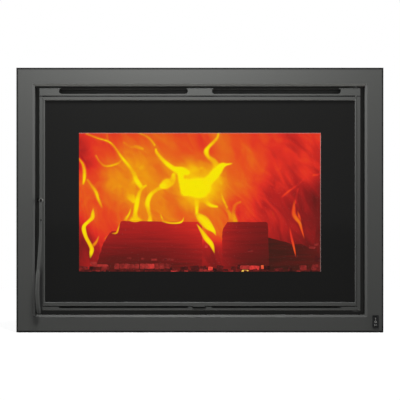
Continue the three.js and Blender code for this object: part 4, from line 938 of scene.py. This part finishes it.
smoothed("hinge_pin_top", "upper_hinge_pin", bright)
smoothed("hinge_pin_bottom", "lower_hinge_pin", bright)
smoothed("latch_shaft", "handle_shaft", bright, body="handle", rounding=0.0003)
smoothed("latch_tongue", "catch_tongue", black_steel, body="handle", rounding=0.0003)
smoothed("handle_lever", "lever_bar", anthracite, body="handle", angle=40)
smoothed("handle_grip", "grip_bar", anthracite, body="handle", angle=50)

# ---- Screws: steel button heads with a hexagon socket, one modelled and the rest copied. They
# hold the casing's back, sides and top; two small dark ones sit on the lever, at its shaft and
# below it.


def socket_screw(radius, height):
    """A button head standing on the origin along Z, with its socket."""
    bpy.ops.object.select_all(action="DESELECT")
    bpy.ops.mesh.primitive_cylinder_add(vertices=20, radius=radius, depth=height,
                                        location=(0, 0, height / 2))
    head = bpy.context.object
    bpy.ops.object.transform_apply(location=True, rotation=True, scale=True)
    use_modifier(head, "BEVEL", width=height * 0.35, segments=2, angle_limit=math.radians(40))
    bpy.ops.object.select_all(action="DESELECT")
    bpy.ops.mesh.primitive_cylinder_add(vertices=6, radius=radius * 0.5, depth=height,
                                        location=(0, 0, height))
    socket = bpy.context.object
    bpy.ops.object.transform_apply(location=True, rotation=True, scale=True)
    pick(head)
    use_modifier(head, "BOOLEAN", operation="DIFFERENCE", object=socket, solver="EXACT")
    bpy.data.objects.remove(socket)
    bpy.ops.object.shade_smooth_by_angle(angle=math.radians(35))
    return head


def screw_set(name, body, size, facing_way, spots, finish):
    """Copies of one screw at the spots, all facing one way, as one piece; size is its head's
    radius and height."""
    head = socket_screw(*size)
    turn = Vector(facing_way).to_track_quat("Z", "Y").to_matrix().to_4x4()
    copies = []
    for spot in spots:
        screw = head.copy()
        screw.data = head.data.copy()
        bpy.context.scene.collection.objects.link(screw)
        screw.data.transform(Matrix.Translation(spot) @ turn)
        copies.append(screw)
    bpy.data.objects.remove(head)
    pick(*copies)
    bpy.ops.object.join()
    piece = bpy.context.object
    piece.name = name
    dress(finish, piece)
    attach(piece, body)


casing_screw, pivot_head, lever_head = (0.0035, 0.002), (0.0026, 0.0011), (0.0018, 0.0007)
screw_x, screw_y, inner_x = 0.308, 0.186, 0.1
back_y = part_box("casing_back")[1].y
side_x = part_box("casing_right_side")[1].x
top_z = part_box("casing_top")[1].z
screw_set("back_screws", "casing", casing_screw, (0, 1, 0),
          [(x, back_y, z) for x in (-screw_x, screw_x) for z in (0.09, 0.24, 0.46)]
          + [(x, back_y, 0.46) for x in (-inner_x, inner_x)], bright)
for side, sign in (("left", -1), ("right", 1)):
    screw_set(side + "_side_screws", "casing", casing_screw, (sign, 0, 0),
              [(sign * side_x, y, z) for y in (-screw_y, screw_y) for z in (0.02, 0.24, 0.455)],
              bright)
screw_set("top_screws", "casing", casing_screw, (0, 0, 1),
          [(x, y, top_z) for x in (-screw_x, screw_x) for y in (-screw_y, screw_y)],
          bright)
screw_set("pivot_screw", "handle", pivot_head, (0, -1, 0), [(-0.3027, -0.2350, 0.252)],
          black_steel)
screw_set("lever_screw", "handle", lever_head, (0, -1, 0), [(-0.3023, -0.2351, 0.2145)],
          black_steel)

# ---- Marks on the fan switch: a stroke, a ring and two strokes, printed in pale grey on the
# slopes of the rocker, which meet in a shallow vee.

rocker_low, rocker_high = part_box("switch_rocker")
rocker_middle = (rocker_low + rocker_high) / 2
rocker_half = (rocker_high.z - rocker_low.z) / 2
vee_depth, print_lift = 0.0008, 0.0001
stroke_half_wide, stroke_half_high, stroke_back = 0.00055, 0.0015, 0.0003
mark_print = new_finish("pale_print", 0.6, 0.0, 0.3)
mark_grain = texture(mark_print, "Noise", Scale=4000.0)
shade(mark_print, "Base Color",
      tones(mark_print, mark_grain, (0.3, (176, 176, 172)), (0.7, (196, 196, 192))))
marks = []
for across, up in ((0, 5.9), (-1.2, -6.9), (1.2, -6.9)):
    centre = Vector((rocker_middle.x + across / 1000, rocker_low.y, rocker_middle.z + up / 1000))
    stroke = block(centre - Vector((stroke_half_wide, print_lift, stroke_half_high)),
                   centre + Vector((stroke_half_wide, stroke_back, stroke_half_high)))
    use_modifier(stroke, "BEVEL", width=0.00008, segments=1)
    marks.append(stroke)
bpy.ops.object.select_all(action="DESELECT")
bpy.ops.mesh.primitive_torus_add(
    major_segments=24, minor_segments=8, major_radius=0.0016, minor_radius=0.0005,
    location=(rocker_middle.x, rocker_low.y, rocker_middle.z - 0.0005),
    rotation=(math.radians(90), 0, 0))
ring = bpy.context.object
bpy.ops.object.transform_apply(location=True, rotation=True, scale=True)
ring_places = corners(ring)
ring_places[:, 1] = rocker_low.y + print_lift + (ring_places[:, 1] - rocker_low.y) * 0.4
move_corners(ring, ring_places)
marks.append(ring)
pick(*marks)
bpy.ops.object.join()
switch_marks = bpy.context.object
switch_marks.name = "switch_marks"
bpy.ops.object.mode_set(mode="EDIT")
bpy.ops.mesh.select_all(action="SELECT")
bpy.ops.mesh.bisect(plane_co=rocker_middle, plane_no=(0, 0, 1))
bpy.ops.object.mode_set(mode="OBJECT")
mark_places = corners(switch_marks)
mark_places[:, 1] += vee_depth * (1 - np.abs(mark_places[:, 2] - rocker_middle.z) / rocker_half)
move_corners(switch_marks, mark_places)
dress(mark_print, switch_marks)
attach(switch_marks, "rocker")
